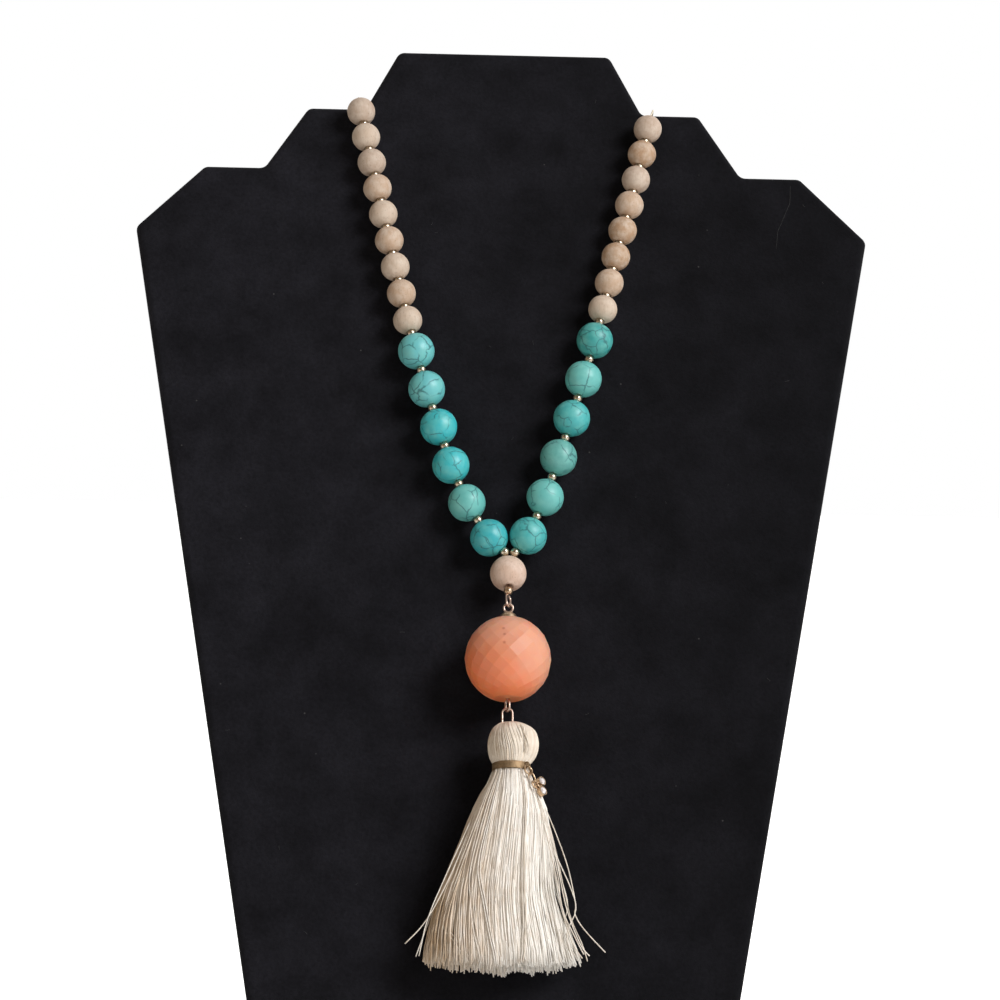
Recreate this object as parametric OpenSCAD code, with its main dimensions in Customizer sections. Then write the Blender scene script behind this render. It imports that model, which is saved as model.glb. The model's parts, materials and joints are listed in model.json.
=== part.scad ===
// Tassel necklace of wood and stone beads, hung on a velvet neck display board with an easel leg.
// The board stands on its bottom edge and leans back; the front is towards -Y and up is +Z.
// Places on the board are worked out flat, as [across, behind the face, up the face], then leaned back.

/* [Display board] */
// Width across the shoulders, the widest tier
board_w = 205.5; // [190:0.5:220]
// Length up the face, from the base to the top of the neck
board_h = 318; // [300:1:340]
// Thickness of the velvet covered board
board_t = 8; // [5:0.5:12]
// How far the board leans back from upright, in degrees
board_lean = 20; // [12:1:24]
// Width at the base
base_w = 104; // [90:1:130]
// Width of the top of the neck
neck_top_w = 61; // [50:1:70]
// Width at the foot of the neck
neck_base_w = 79.5; // [74:0.5:80]
// Width of the top of the collar tier
collar_w = 112; // [100:1:120]
// Width at the foot of the collar tier
collar_base_w = 135.5; // [125:0.5:145]
// Width of the top of the shoulder tier
shoulder_w = 169; // [155:1:180]
// Drop from the top of the neck to the top of the collar tier
neck_drop = 19; // [14:0.5:22]
// Drop from the top of the collar tier to the top of the shoulder tier
collar_drop = 19.5; // [14:0.5:24]
// Drop from the top of the shoulder tier to its widest corner
shoulder_drop = 19.5; // [14:0.5:24]
// Radius of the outline's corners
corner_r = 2.5; // [1:0.25:4]

/* [Easel leg] */
// Height up the face at which the leg leaves the board's back
leg_h = 195; // [150:1:215]
// Distance from the board's front foot to the heel of the leg
leg_reach = 135; // [125:1:160]
// Thickness of the leg
leg_t = 5; // [3:0.5:8]
// Width of the leg at its top
leg_top_w = 44; // [30:1:60]
// Width of the leg at its foot
leg_foot_w = 76; // [50:1:90]

/* [Beads] */
// Diameter of the turned wood beads
wood_d = 8; // [7:0.25:9]
// Depth to which a spacer sinks into a wood bead's mouth
wood_sink = 1.1; // [0.6:0.05:1.15]
// Diameter of the turquoise stone beads
stone_d = 10; // [8:0.25:10]
// Depth to which a spacer sinks into a stone bead's mouth on the left
left_sink = 0.48; // [0.2:0.02:0.6]
// Depth to which a spacer sinks into a stone bead's mouth on the right
right_sink = 0.26; // [0.2:0.02:0.6]
// Bore of the wood and stone beads
bead_bore = 1.6; // [1.4:0.1:1.8]
// Stone beads on each side
stones_per_side = 6; // [4:1:6]
// Diameter of the wood bead where the two strands meet
joint_d = 9.6; // [8:0.2:10]
// Bore of that bead
joint_bore = 2.4; // [2.2:0.1:2.6]
// Diameter of the gold spacer beads
spacer_d = 2.5; // [2.45:0.05:2.8]
// Bore of the spacer beads
spacer_bore = 0.9; // [0.8:0.1:1.2]
// Diameter of the gold bead under the joint bead
end_bead_d = 2.4; // [2.3:0.1:3]
// Gap left where one strung piece sits on the next
seat_gap = 0.1; // [0.06:0.02:0.16]
// Gap left between the face of the board and what lies on it
rest_gap = 0.3; // [0.2:0.05:0.6]
// Diameter of the beading wire
wire_d = 0.5; // [0.3:0.05:0.6]

/* [Back chain] */
// Outer length of a chain link
link_l = 2.9; // [2.5:0.1:4]
// Outer width of a chain link
link_w = 1.5; // [1.4:0.05:2]
// Wire of a chain link
link_wire = 0.4; // [0.3:0.05:0.45]
// How far the chain hangs below its ends behind the board
back_sag = 48; // [30:1:70]
// Ball that crimps the beading wire to the chain
crimp_d = 2.4; // [2:0.1:3]
// Mean diameter of the end rings of crimp and clasp
end_ring_d = 1.6; // [1.5:0.05:2]
// Drop from the collar's top to the crimps behind
crimp_drop = 6; // [4:0.5:12]
// Length of the clasp's plate between its two rings
clasp_l = 9; // [6:0.5:14]
// Width of the clasp's plate
clasp_w = 3.6; // [2.5:0.1:5]
// Thickness of the clasp's plate
clasp_t = 1.2; // [0.8:0.1:2]

/* [Drop] */
// Diameter of the faceted bead over its corners
focal_d = 22.2; // [18:0.2:24]
// Bore of the faceted bead
focal_bore = 1.1; // [0.9:0.1:1.6]
// Facets round the faceted bead's girdle
focal_facets = 16; // [12:2:20]
// Wire of the drop's pin, with its ring and lower loop
pin_wire = 0.6; // [0.5:0.02:0.66]
// Wire of the hanging loop and of the tassel's ring
ring_wire = 0.56; // [0.46:0.02:0.6]
// Gap between two linked wires of the drop where they bear
hook_gap = 0.17; // [0.12:0.01:0.2]
// Mean diameter of the ring that the drop hangs by
eye_ring_d = 2.3; // [2.2:0.05:3]
// Mean width of the loop under the joint bead
upper_loop_w = 2.2; // [2.1:0.05:2.6]
// Mean length of the loop under the joint bead
upper_loop_l = 3.7; // [3.6:0.1:6]
// Mean width of the loop under the faceted bead
lower_loop_w = 1.9; // [1.8:0.05:2.2]
// Mean length of the loop under the faceted bead
lower_loop_l = 2.9; // [2.7:0.1:4]
// Turn of the two loops away from the face, in degrees
loop_turn = 60; // [60:5:90]
// Width of the gold cap on the faceted bead
cap_w = 4.6; // [3:0.1:5]
// Height of the gold cap
cap_h = 1.6; // [0.8:0.1:2]

/* [Tassel] */
// Mean width of the ring that carries the tassel
tassel_ring_w = 2.6; // [2.6:0.05:3.2]
// Mean height of that ring
tassel_ring_h = 4.7; // [3.3:0.1:5.2]
// Depth to which the ring is bound into the head
ring_bury = 0.6; // [0.3:0.1:1]
// Width of the head
head_w = 13; // [11:0.5:15]
// Height of the head
head_h = 10.3; // [8:0.1:13]
// Width of the bound neck
neck_w = 9; // [7:0.1:10]
// Height of the gold band round the neck
band_h = 2; // [1:0.1:3]
// Thickness of the gold band
band_t = 0.3; // [0.2:0.05:0.6]
// Length of the skirt below the band
skirt_l = 48.5; // [40:0.5:60]
// Width of the skirt at its hem
hem_w = 41; // [34:0.5:48]
// Depth of the skirt at its hem
hem_d = 17; // [12:0.5:20]
// Locks round the tassel
locks = 28; // [20:1:32]

/* [Charm] */
// Angle round the band from the front to the charm, in degrees
charm_turn = 43; // [32:1:60]
// Angle at which the charm stands off the skirt, in degrees
charm_tilt = 18; // [17:1:36]
// Angle at which the charm hangs aside, away from the front, in degrees
charm_aside = 18; // [0:1:30]
// Mean diameter of the eyelet on the band
eyelet_d = 1.4; // [1.3:0.05:1.8]
// Mean diameter of the upper jump ring
charm_ring_1_d = 2.5; // [2.2:0.05:2.8]
// Mean length of the long link below it
charm_link_l = 2.6; // [2.4:0.1:3.4]
// Mean width of the long link
charm_link_w = 1.5; // [1.3:0.05:1.8]
// Mean diameter of the lower jump ring
charm_ring_2_d = 1.9; // [1.7:0.05:2.2]
// Wire of the charm's rings
charm_wire = 0.36; // [0.3:0.02:0.38]
// Diameter of the rhinestones
rhinestone_d = 1.9; // [1.6:0.05:2]
// Wall of the rhinestone cups
cup_wall = 0.2; // [0.15:0.05:0.3]
// Depth of the rhinestone cups
cup_h = 1.1; // [0.9:0.1:1.4]

/* [Hidden] */
// Facing number of round pieces, and the sides and corner steps of drawn ones
$fn = 48;
WIRE_SIDES = 6;
CORNER_STEPS = 5;
// Size larger than anything that is cut with it
FAR = 400;

// Heights up the face of the tops of the collar and shoulder tiers and of the widest corners
collar_up = board_h - neck_drop;
shoulder_up = collar_up - collar_drop;
widest_up = shoulder_up - shoulder_drop;
// Whole depth from the front foot to the heel of the leg or the top of the back
depth = max(leg_reach, board_h * sin(board_lean) + board_t * cos(board_lean));

// Routes of the strands from their first spacer, as [across, up the face, lift off rest].
// A stone bead on the face has no lift, and the wood beads follow at their own height.
LEFT_ROUTE = [[1.4, 163, 1.6], [-2.9, 167.2, 1.1], [-8.6, 176.5, 0.7], [-13, 187, 0.5], [-20, 209, 0.2],
    [-26, 231, 0.2], [-33.5, 263, 0.1], [-39, 287, 0], [-41, 297, 0]];
RIGHT_ROUTE = [[4.1, 162.9, 1.6], [7.8, 168.1, 1.1], [12.2, 179.3, 0.6], [19.2, 202, 0.3],
    [25.6, 225.5, 0.2], [31.5, 251, 0.1], [37.3, 275, 0], [41, 292, 0]];
// Centre of the bead where the strands meet, as [across, up the face, out from it]
JOINT = [2.4, 157, 7];
// Least height from the centre of a strand's last bead to the collar's top
TOP_ROOM = 2;
MOST_BEADS = 20;

// Vector helpers: unit length, distances along a path, and the point at a distance
function unit(v) = v / norm(v);
function lengths(path) = [for (i = 0, t = 0; i < len(path);
    t = t + (i < len(path) - 1 ? norm(path[i + 1] - path[i]) : 0), i = i + 1) t];
function along(path, s) = let (c = lengths(path),
    i = max([for (k = [0 : len(path) - 2]) if (k == 0 || c[k] <= s) k]))
    path[i] + (path[i + 1] - path[i]) * (s - c[i]) / (c[i + 1] - c[i]);

// From a spacer's centre to the centre of the bead that it sits on
left_seat = (stone_d + spacer_d) / 2 - left_sink;
right_seat = (stone_d + spacer_d) / 2 - right_sink;
wood_seat = (wood_d + spacer_d) / 2 - wood_sink;
function stone_s(seat, i) = (2 * i + 1) * seat;
function wood_s(seat, j) = 2 * stones_per_side * seat + (2 * j + 1) * wood_seat;
function wood_count(route, seat) =
    len([for (j = [0 : MOST_BEADS]) if (along(route, wood_s(seat, j))[1] < collar_up - TOP_ROOM) j]);
wood_left_count = wood_count(LEFT_ROUTE, left_seat);
wood_right_count = wood_count(RIGHT_ROUTE, right_seat);

// Centres of the beads and spacers of a strand, in the board's flat frame
function seated(p, d) = [p[0], -(d / 2 + rest_gap + p[2]), p[1]];
function bead_centres(route, seat, woods) = concat(
    [for (i = [0 : stones_per_side - 1]) seated(along(route, stone_s(seat, i)), stone_d)],
    [for (j = [0 : woods - 1]) seated(along(route, wood_s(seat, j)), wood_d)]);
function seat_of(seat, i) = i < stones_per_side ? seat : wood_seat;
function seat_share(seat, i) = seat_of(seat, i - 1) / (seat_of(seat, i - 1) + seat_of(seat, i));
function spacer_centres(route, seat, beads) = [for (i = [0 : len(beads) - 1]) i == 0
    ? seated(route[0], stone_d) : beads[i - 1] + (beads[i] - beads[i - 1]) * seat_share(seat, i)];
left_beads = bead_centres(LEFT_ROUTE, left_seat, wood_left_count);
right_beads = bead_centres(RIGHT_ROUTE, right_seat, wood_right_count);
left_spacers = spacer_centres(LEFT_ROUTE, left_seat, left_beads);
right_spacers = spacer_centres(RIGHT_ROUTE, right_seat, right_beads);

// The bare wire crosses the collar's top beside the neck and goes down behind to the crimp
wire_clear = wire_d / 2 + rest_gap;
behind = board_t + rest_gap + crimp_d / 2;
crimp_up = collar_up - crimp_drop;
function crossing_x(beads) = let (x = beads[len(beads) - 1][0])
    sign(x) * max(abs(x), neck_base_w / 2 + corner_r + wire_clear);
function crossing(beads) = [for (y = [-wire_clear, board_t + wire_clear])
    [crossing_x(beads), y, collar_up + wire_clear]];
function crimp_centre(beads) = [crossing_x(beads), behind, crimp_up];
function bead_axis(beads, spacers, i) = unit((i < len(beads) - 1 ? spacers[i + 1] : beads[i]) - spacers[i]);
function spacer_axis(beads, i) = i == 0 ? unit(beads[0] - joint_mouth) : unit(beads[i] - beads[i - 1]);

// The line from the joint bead down to the drop's ring comes out so that the faceted bead clears the face
drop_out = focal_d / 2 + rest_gap;
joint_c = [JOINT[0], -JOINT[2], JOINT[1]];
end_seat = joint_d / 2 + end_bead_d / 2 + seat_gap;
// The hanging loop's lowest wire bears a little in front of the ring's centre
LOOP_OUT = 0.25;
loop_up = (eye_ring_d - pin_wire - ring_wire) / 2 - hook_gap;
line_l = end_seat + end_bead_d / 2 + seat_gap + ring_wire / 2 + upper_loop_l;
line_tilt = asin((drop_out - JOINT[2] + LOOP_OUT) / line_l);
line_up = [0, sin(line_tilt), cos(line_tilt)];
joint_mouth = joint_c + line_up * joint_d / 2;
end_bead_c = joint_c - line_up * end_seat;
loop_bottom = joint_c - line_up * line_l;
eye_c = loop_bottom + [0, LOOP_OUT, -loop_up];

// Rings of corners of the faceted bead from its girdle up, as [radius, height] shares of its radius.
// Each facet is a flat kite, so its tip follows from its foot and its two sides.
facet_half = 180 / focal_facets;
TABLE_HEIGHT = 0.93;
function kite_tip(foot, side) = let (rise = [side[0] * cos(facet_half), side[1]] - foot)
    foot - rise * 2 * (foot * rise) / (rise * rise);
function facet_rings(rings) = let (n = len(rings)) rings[n - 1][1] > TABLE_HEIGHT ? rings
    : facet_rings(concat(rings, [kite_tip(rings[n - 2], rings[n - 1])]));
half_rings = facet_rings([[1, 0], [cos(facet_half), sin(facet_half)]]);
table_up = half_rings[len(half_rings) - 1][1] * focal_d / 2;

// Corners of the drop's cap from its foot up, as [half width, height] shares
CAP_PROFILE = [[1, 0], [1, 0.2], [0.93, 0.55], [0.82, 0.85], [0.68, 1]];

// Drop and tassel, straight down the face from the ring
eye_foot = eye_c[2] - (eye_ring_d + pin_wire) / 2;
cap_foot = eye_foot - cap_h;
focal_c = [JOINT[0], -drop_out, cap_foot - seat_gap - table_up];
lower_loop_c = focal_c - [0, 0, table_up + seat_gap + pin_wire / 2 + lower_loop_l];
// Centre of the top bend of the tassel's ring, which the tassel swings about
tassel_c = lower_loop_c - [0, 0, (tassel_ring_w - pin_wire - ring_wire) / 2 - hook_gap];
ring_foot = tassel_c[2] - tassel_ring_h + tassel_ring_w / 2;
head_top = ring_foot + ring_bury;
band_top = head_top - head_h;
skirt_top = band_top - band_h;

// Tassel sections from the top down. In the head, down is a share of its height, and width and depth
// are shares of its width. In the skirt they are shares of its length and of the hem's width and depth.
// Shift across and groove depth are shares of the head's width and of the section.
HEAD_SECTIONS = [
    // [down, width, depth, shift, groove]
    [0, 0.42, 0.42, 0.07, 0.02],
    [0.06, 0.66, 0.64, 0.1, 0.03],
    [0.2, 0.88, 0.86, 0.12, 0.04],
    [0.48, 1, 0.96, 0.12, 0.04],
    [0.78, 0.93, 0.9, 0.11, 0.04],
    [0.94, 0.78, 0.78, 0.09, 0.03]];
SKIRT_SECTIONS = [
    [0.05, 0.29, 0.6, 0.085, 0.05],
    [0.16, 0.45, 0.72, 0.08, 0.06],
    [0.41, 0.63, 0.82, -0.02, 0.07],
    [0.64, 0.76, 0.9, -0.1, 0.08],
    [0.85, 0.91, 0.97, -0.05, 0.09],
    [1, 1, 1, 0.02, 0.1]];
NECK_SHIFT = 0.085;
NECK_GROOVE = 0.02;
// Rise of the hem at its sides, unevenness of its ends, and depth of its hollow, as shares of the skirt
HEM_RISE = 0.02;
HEM_UNEVEN = 0.014;
HEM_HOLLOW = 0.05;
INSIDE_SHARE = 0.8;
// Profile of one lock across its width, from a groove over its crest
LOCK = [0, 1, 1];
LOCK_TURN = 137.5;
neck_x = tassel_c[0] + NECK_SHIFT * head_w;
hem_out = hem_d / 2 + rest_gap;
// Rows of [height, half width, half depth, across, out, groove, share of the skirt]
head_rows = [for (s = HEAD_SECTIONS) [head_top - s[0] * head_h, s[1] * head_w / 2, s[2] * head_w / 2,
    tassel_c[0] + s[3] * head_w, -drop_out, s[4], 0]];
neck_rows = [for (z = [band_top, skirt_top]) [z, neck_w / 2, neck_w / 2, neck_x, -drop_out, NECK_GROOVE, 0]];
skirt_rows = [for (s = SKIRT_SECTIONS) [skirt_top - s[0] * skirt_l, s[1] * hem_w / 2, s[2] * hem_d / 2,
    tassel_c[0] + s[3] * head_w, -drop_out + (drop_out - hem_out) * s[0], s[4], s[0]]];
// A row half way between two others, on a smooth curve through its four neighbours
function halfway(rows, i) = let (near = rows[i] + rows[i + 1],
    far = rows[max(i - 1, 0)] + rows[min(i + 2, len(rows) - 1)]) (9 * near - far) / 16;
function smoothed(rows) = [for (i = [0 : len(rows) - 1])
    each i < len(rows) - 1 ? [rows[i], halfway(rows, i)] : [rows[i]]];
tassel_rows = smoothed(concat(head_rows, neck_rows, skirt_rows));

// Charm sizes, from the band's middle outwards and down
band_r = neck_w / 2 + seat_gap / 2 + band_t;
eyelet_out = band_r - band_t / 3 + eyelet_d / 2;
cup_d = rhinestone_d + seat_gap + 2 * cup_wall;
CUP_TURNS = [30, 96];
CUP_LOOP_D = 1;
CROWN_SHARE = 0.16;
PAVILION_SHARE = 0.24;
TABLE_SHARE = 0.6;
CUT_SIDES = 8;
// From the centre of a ring to the centre of one that hangs in it
function linked(a, b, wire) = (a + b) / 2 - wire - seat_gap;

// The back chain hangs on a curve from each crimp to the clasp, and the crimp's ring points along it
CURVE_STEPS = 24;
clasp_up = crimp_up - back_sag;
clasp_ring_x = (clasp_l + end_ring_d - link_wire) / 2;
crimp_ring_down = (crimp_d + end_ring_d - link_wire) / 2;
function chain_turn(beads) = let (x = crossing_x(beads))
    sign(x) * atan2(abs(x) - clasp_ring_x, 2 * back_sag);
function chain_top(beads) = let (t = chain_turn(beads))
    crimp_centre(beads) - crimp_ring_down * [sin(t), 0, cos(t)];
function curve(beads) = let (top = chain_top(beads), run = abs(top[0]) - clasp_ring_x)
    [for (i = [0 : CURVE_STEPS]) let (t = 1 - i / CURVE_STEPS)
        [sign(top[0]) * (clasp_ring_x + run * t), behind, clasp_up + (top[2] - clasp_up) * t * t]];
// The links are even in number, so that the last one stands square to the clasp's ring
function link_centres(beads) = let (c = curve(beads), total = lengths(c)[CURVE_STEPS],
    first = linked(end_ring_d, link_l - link_wire, link_wire), room = total - 2 * first,
    step = link_l - 2 * link_wire - seat_gap, n = 2 * ceil((room / step - 1) / 2) + 1)
    [for (i = [0 : n]) along(c, first + room * i / n)];

BLACK = "#18181c";
GOLD = "#d9b56c";
COPPER = "#c08a5e";
CREAM = "#ece0c8";
PEACH = "#e88a68";
WOOD = "#dcc3a0";
STONES = ["#3fb9b4", "#6cc3ae", "#46bcb6", "#3aafb0", "#74cbb6", "#58c4bb"];

function numbered(name, n) = [for (i = [1 : n]) str(name, i)];
left_names = concat(numbered("stone_left_", stones_per_side), numbered("wood_left_", wood_left_count));
right_names = concat(numbered("stone_right_", stones_per_side), numbered("wood_right_", wood_right_count));

// Leans the board's flat frame back and centres the whole on the origin
module leaned() translate([0, -depth / 2, 0]) rotate([-board_lean, 0, 0]) children();

// Puts a piece drawn on the Z axis at a place and along a direction
module set_along(place, d) translate(place) rotate([0, acos(d[2]), atan2(d[1], d[0])]) children();

// Round wire ring in the XZ plane
module wire_ring(mean_d, wire) rotate([90, 0, 0])
    rotate_extrude() translate([mean_d / 2, 0]) circle(d = wire);

// Long wire loop in the XZ plane, with its lowest mean point at the origin
module wire_loop(mean_w, mean_l, wire) {
    bend = mean_w / 2;
    straight = mean_l - mean_w;
    translate([0, 0, bend]) rotate([90, 0, 0])
        rotate_extrude(angle = -180) translate([bend, 0]) circle(d = wire);
    translate([0, 0, bend + straight]) rotate([90, 0, 0])
        rotate_extrude(angle = 180) translate([bend, 0]) circle(d = wire);
    for (x = [-bend, bend]) translate([x, 0, bend]) cylinder(d = wire, h = straight);
}

// Round bead with its bore along Z
module bead(d, bore) difference() {
    sphere(d = d);
    cylinder(d = bore, h = 2 * d, center = true);
}

// Closed tube round a line of points, with a ring of corners at each
function turn_at(path, i) = let (n = len(path) - 1)
    unit(unit(path[min(i + 1, n)] - path[min(i, n - 1)]) + unit(path[max(i, 1)] - path[max(i - 1, 0)]));
module tube(path, d) {
    n = WIRE_SIDES;
    last = len(path) - 1;
    corners = [for (i = [0 : last])
        let (t = turn_at(path, i), a = unit(cross(t, [1, 0, 0])), b = cross(t, a))
        for (k = [0 : n - 1]) path[i] + d / 2 * (a * cos(360 * k / n) + b * sin(360 * k / n))];
    sides = [for (i = [0 : last - 1], k = [0 : n - 1]) let (m = (k + 1) % n)
        [i * n + k, (i + 1) * n + k, (i + 1) * n + m, i * n + m]];
    first_end = [for (k = [0 : n - 1]) k];
    last_end = [for (k = [n - 1 : -1 : 0]) last * n + k];
    polyhedron(corners, concat([first_end], sides, [last_end]));
}

// Whole outline from its right half
function mirrored(right) = concat(right, [for (i = [len(right) - 1 : -1 : 0]) [-right[i][0], right[i][1]]]);

// Rounded corner of an outline at b, between a and c
function corner(a, b, c, r) = let (u = unit(a - b), w = unit(c - b), half = acos(u * w) / 2,
    mid = b + unit(u + w) * r / sin(half), from = b + u * r / tan(half) - mid,
    to = b + w * r / tan(half) - mid, start = atan2(from[1], from[0]),
    turn = (atan2(to[1], to[0]) - start + 540) % 360 - 180)
    [for (i = [0 : CORNER_STEPS]) let (t = start + turn * i / CORNER_STEPS) mid + r * [cos(t), sin(t)]];

// The board's foot is cut flat on the ground
module display_board() color(BLACK) {
    right = [[base_w / 2, 0], [board_w / 2, widest_up], [shoulder_w / 2, shoulder_up],
        [collar_base_w / 2, shoulder_up], [collar_w / 2, collar_up], [neck_base_w / 2, collar_up],
        [neck_top_w / 2, board_h]];
    outline = mirrored(right);
    n = len(outline);
    intersection() {
        leaned() translate([0, board_t, 0]) rotate([90, 0, 0]) linear_extrude(board_t)
            polygon([for (i = [0 : n - 1]) each outline[i][1] == 0 ? [outline[i]]
                : corner(outline[(i + n - 1) % n], outline[i], outline[(i + 1) % n], corner_r)]);
        translate([-FAR, -FAR, 0]) cube([2 * FAR, 2 * FAR, FAR]);
    }
}

// The leg's top is cut to lie flat on the board's back, and its foot flat on the ground
module easel_leg() color(BLACK) {
    run = leg_reach - leg_h * sin(board_lean) - board_t * cos(board_lean);
    rise = leg_h * cos(board_lean) - board_t * sin(board_lean);
    leg_l = norm([run, rise]);
    spare = leg_t * 4;
    right = [[leg_foot_w / 2, -spare], [leg_foot_w / 2, 0],
        [leg_top_w / 2, leg_l], [leg_top_w / 2, leg_l + spare]];
    intersection() {
        translate([0, leg_reach - depth / 2, 0]) rotate([atan2(run, rise), 0, 0]) rotate([90, 0, 0])
            linear_extrude(leg_t) polygon(mirrored(right));
        translate([-FAR, -FAR, 0]) cube([2 * FAR, 2 * FAR, FAR]);
        leaned() translate([-FAR, board_t, -FAR]) cube([2 * FAR, FAR, 2 * FAR]);
    }
}

// The mouths of a strung bead are hollowed to the spacers that sit in them
module spacer_seats(centres) for (c = centres) translate(c) sphere(d = spacer_d + 2 * seat_gap);
module strung_bead(beads, spacers, i) leaned() difference() {
    set_along(beads[i], bead_axis(beads, spacers, i)) if (i < stones_per_side)
        color(STONES[i % len(STONES)]) bead(stone_d, bead_bore);
        else color(WOOD) bead(wood_d, bead_bore);
    spacer_seats([for (k = [i, i + 1]) if (k < len(spacers)) spacers[k]]);
}
module joint_bead() color(WOOD) leaned() difference() {
    set_along(joint_c, line_up) bead(joint_d, joint_bore);
    translate(joint_mouth) sphere(d = joint_bore + 2 * wire_d);
    spacer_seats([left_spacers[0], right_spacers[0]]);
}

module spacers(beads, centres) color(GOLD) leaned() for (i = [0 : len(centres) - 1])
    set_along(centres[i], spacer_axis(beads, i)) bead(spacer_d, spacer_bore);

// The wire starts in the joint bead, runs straight through each bore, crosses the collar's top
// and ends in the crimp
module wire(beads, spacers, seat) color(CREAM) leaned() {
    inside = [sign(beads[0][0] - joint_c[0]) * (wire_d + seat_gap) / 2, 0, 0];
    last = len(beads) - 1;
    strung = [for (i = [0 : last]) let (s = spacer_axis(beads, i) * (spacer_d - wire_d) / 2,
        b = bead_axis(beads, spacers, i), inside_l = seat_of(seat, i) - spacer_d,
        out_l = i < last ? inside_l : wood_d / 2 + wire_d)
        each [spacers[i] - s, spacers[i] + s, beads[i] - b * inside_l, beads[i] + b * out_l]];
    into_crimp = crimp_centre(beads);
    tube(concat([joint_c + inside, joint_mouth + inside], strung, crossing(beads),
        [into_crimp + [0, 0, crimp_d], into_crimp]), wire_d);
}

// Ball with a blind bore for the wire and a ring for the chain
module crimp(beads) color(GOLD) leaned() translate(crimp_centre(beads)) {
    difference() {
        rotate([90, 0, 0]) sphere(d = crimp_d);
        translate([0, 0, -wire_d / 2]) cylinder(d = wire_d + 2 * seat_gap, h = crimp_d);
    }
    rotate([0, chain_turn(beads), 0]) translate([0, 0, -crimp_ring_down]) rotate([0, 0, 90])
        wire_ring(end_ring_d, link_wire);
}

// Every second link is turned a quarter turn on the line of the chain
module chain(beads) color(GOLD) leaned() {
    centres = link_centres(beads);
    last = len(centres) - 1;
    for (i = [0 : last]) set_along(centres[i], unit(centres[min(i + 1, last)] - centres[max(i - 1, 0)]))
        rotate([0, 0, 90 * (i % 2)]) translate([0, 0, (link_wire - link_l) / 2])
            wire_loop(link_w - link_wire, link_l - link_wire, link_wire);
}

module clasp() color(GOLD) leaned() translate([0, behind, clasp_up]) {
    straight = clasp_l - clasp_w;
    rotate([90, 0, 0]) linear_extrude(clasp_t, center = true) union() {
        square([straight, clasp_w], center = true);
        for (x = [-straight / 2, straight / 2]) translate([x, 0]) circle(d = clasp_w);
    }
    for (x = [-clasp_ring_x, clasp_ring_x]) translate([x, 0, 0]) wire_ring(end_ring_d, link_wire);
}

module end_bead() color(GOLD) leaned() set_along(end_bead_c, line_up)
    bead(end_bead_d, ring_wire + 2 * seat_gap);

// Long loop under the end bead, with the stem that holds it in the joint bead
module hanging_loop() color(COPPER) leaned() set_along(loop_bottom, line_up) {
    rotate([0, 0, loop_turn - 90]) wire_loop(upper_loop_w, upper_loop_l, ring_wire);
    translate([0, 0, upper_loop_l]) cylinder(d = ring_wire, h = end_bead_d + joint_d / 3);
}

// Cap with an upright rim, a rounded shoulder and a flat top under the ring
module drop_cap() color(GOLD) leaned() translate([focal_c[0], focal_c[1], cap_foot]) rotate_extrude() {
    inside = pin_wire / 2 + seat_gap;
    top = cap_h - seat_gap;
    polygon(concat([[inside, top], [inside, 0]], [for (p = CAP_PROFILE) [p[0] * cap_w / 2, p[1] * top]]));
}

// Ring over the cap, pin through the faceted bead, and the loop under it
module drop_pin() color(COPPER) leaned() {
    loop_top = lower_loop_c[2] + lower_loop_l;
    translate(eye_c) wire_ring(eye_ring_d, pin_wire);
    translate([eye_c[0], eye_c[1], loop_top]) cylinder(d = pin_wire, h = eye_foot + pin_wire / 2 - loop_top);
    translate(lower_loop_c) rotate([0, 0, -loop_turn]) wire_loop(lower_loop_w, lower_loop_l, pin_wire);
}

// Every other ring of corners is turned by half a facet
module focal_bead() color(PEACH) leaned() translate(focal_c) difference() {
    n = focal_facets;
    top = len(half_rings) - 1;
    rings = [for (i = [-top : top]) [half_rings[abs(i)][0], sign(i) * half_rings[abs(i)][1], abs(i) % 2]];
    last = 2 * top;
    corners = [for (r = rings, k = [0 : n - 1]) let (t = facet_half * (2 * k + r[2]))
        focal_d / 2 * [r[0] * cos(t), r[0] * sin(t), r[1]]];
    at = function(i, k) i * n + (k + n) % n;
    kites = [for (i = [0 : last - 2], k = [0 : n - 1]) let (odd = rings[i][2])
        [at(i, k), at(i + 1, k + odd - 1), at(i + 2, k), at(i + 1, k + odd)]];
    foot_row = [for (k = [0 : n - 1]) [at(0, k), at(0, k - 1), at(1, k - 1 + rings[0][2])]];
    head_row = [for (k = [0 : n - 1]) [at(last, k - 1), at(last, k), at(last - 1, k - 1 + rings[last][2])]];
    polyhedron(corners, concat(kites, foot_row, head_row, [[for (k = [0 : n - 1]) k]],
        [[for (k = [n - 1 : -1 : 0]) at(last, k)]]));
    cylinder(d = focal_bore, h = 2 * focal_d, center = true);
}

module tassel_wire(wire) translate([tassel_c[0], tassel_c[1], ring_foot])
    wire_loop(tassel_ring_w, tassel_ring_h, wire);
module tassel_ring() color(COPPER) leaned() tassel_wire(ring_wire);

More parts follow.
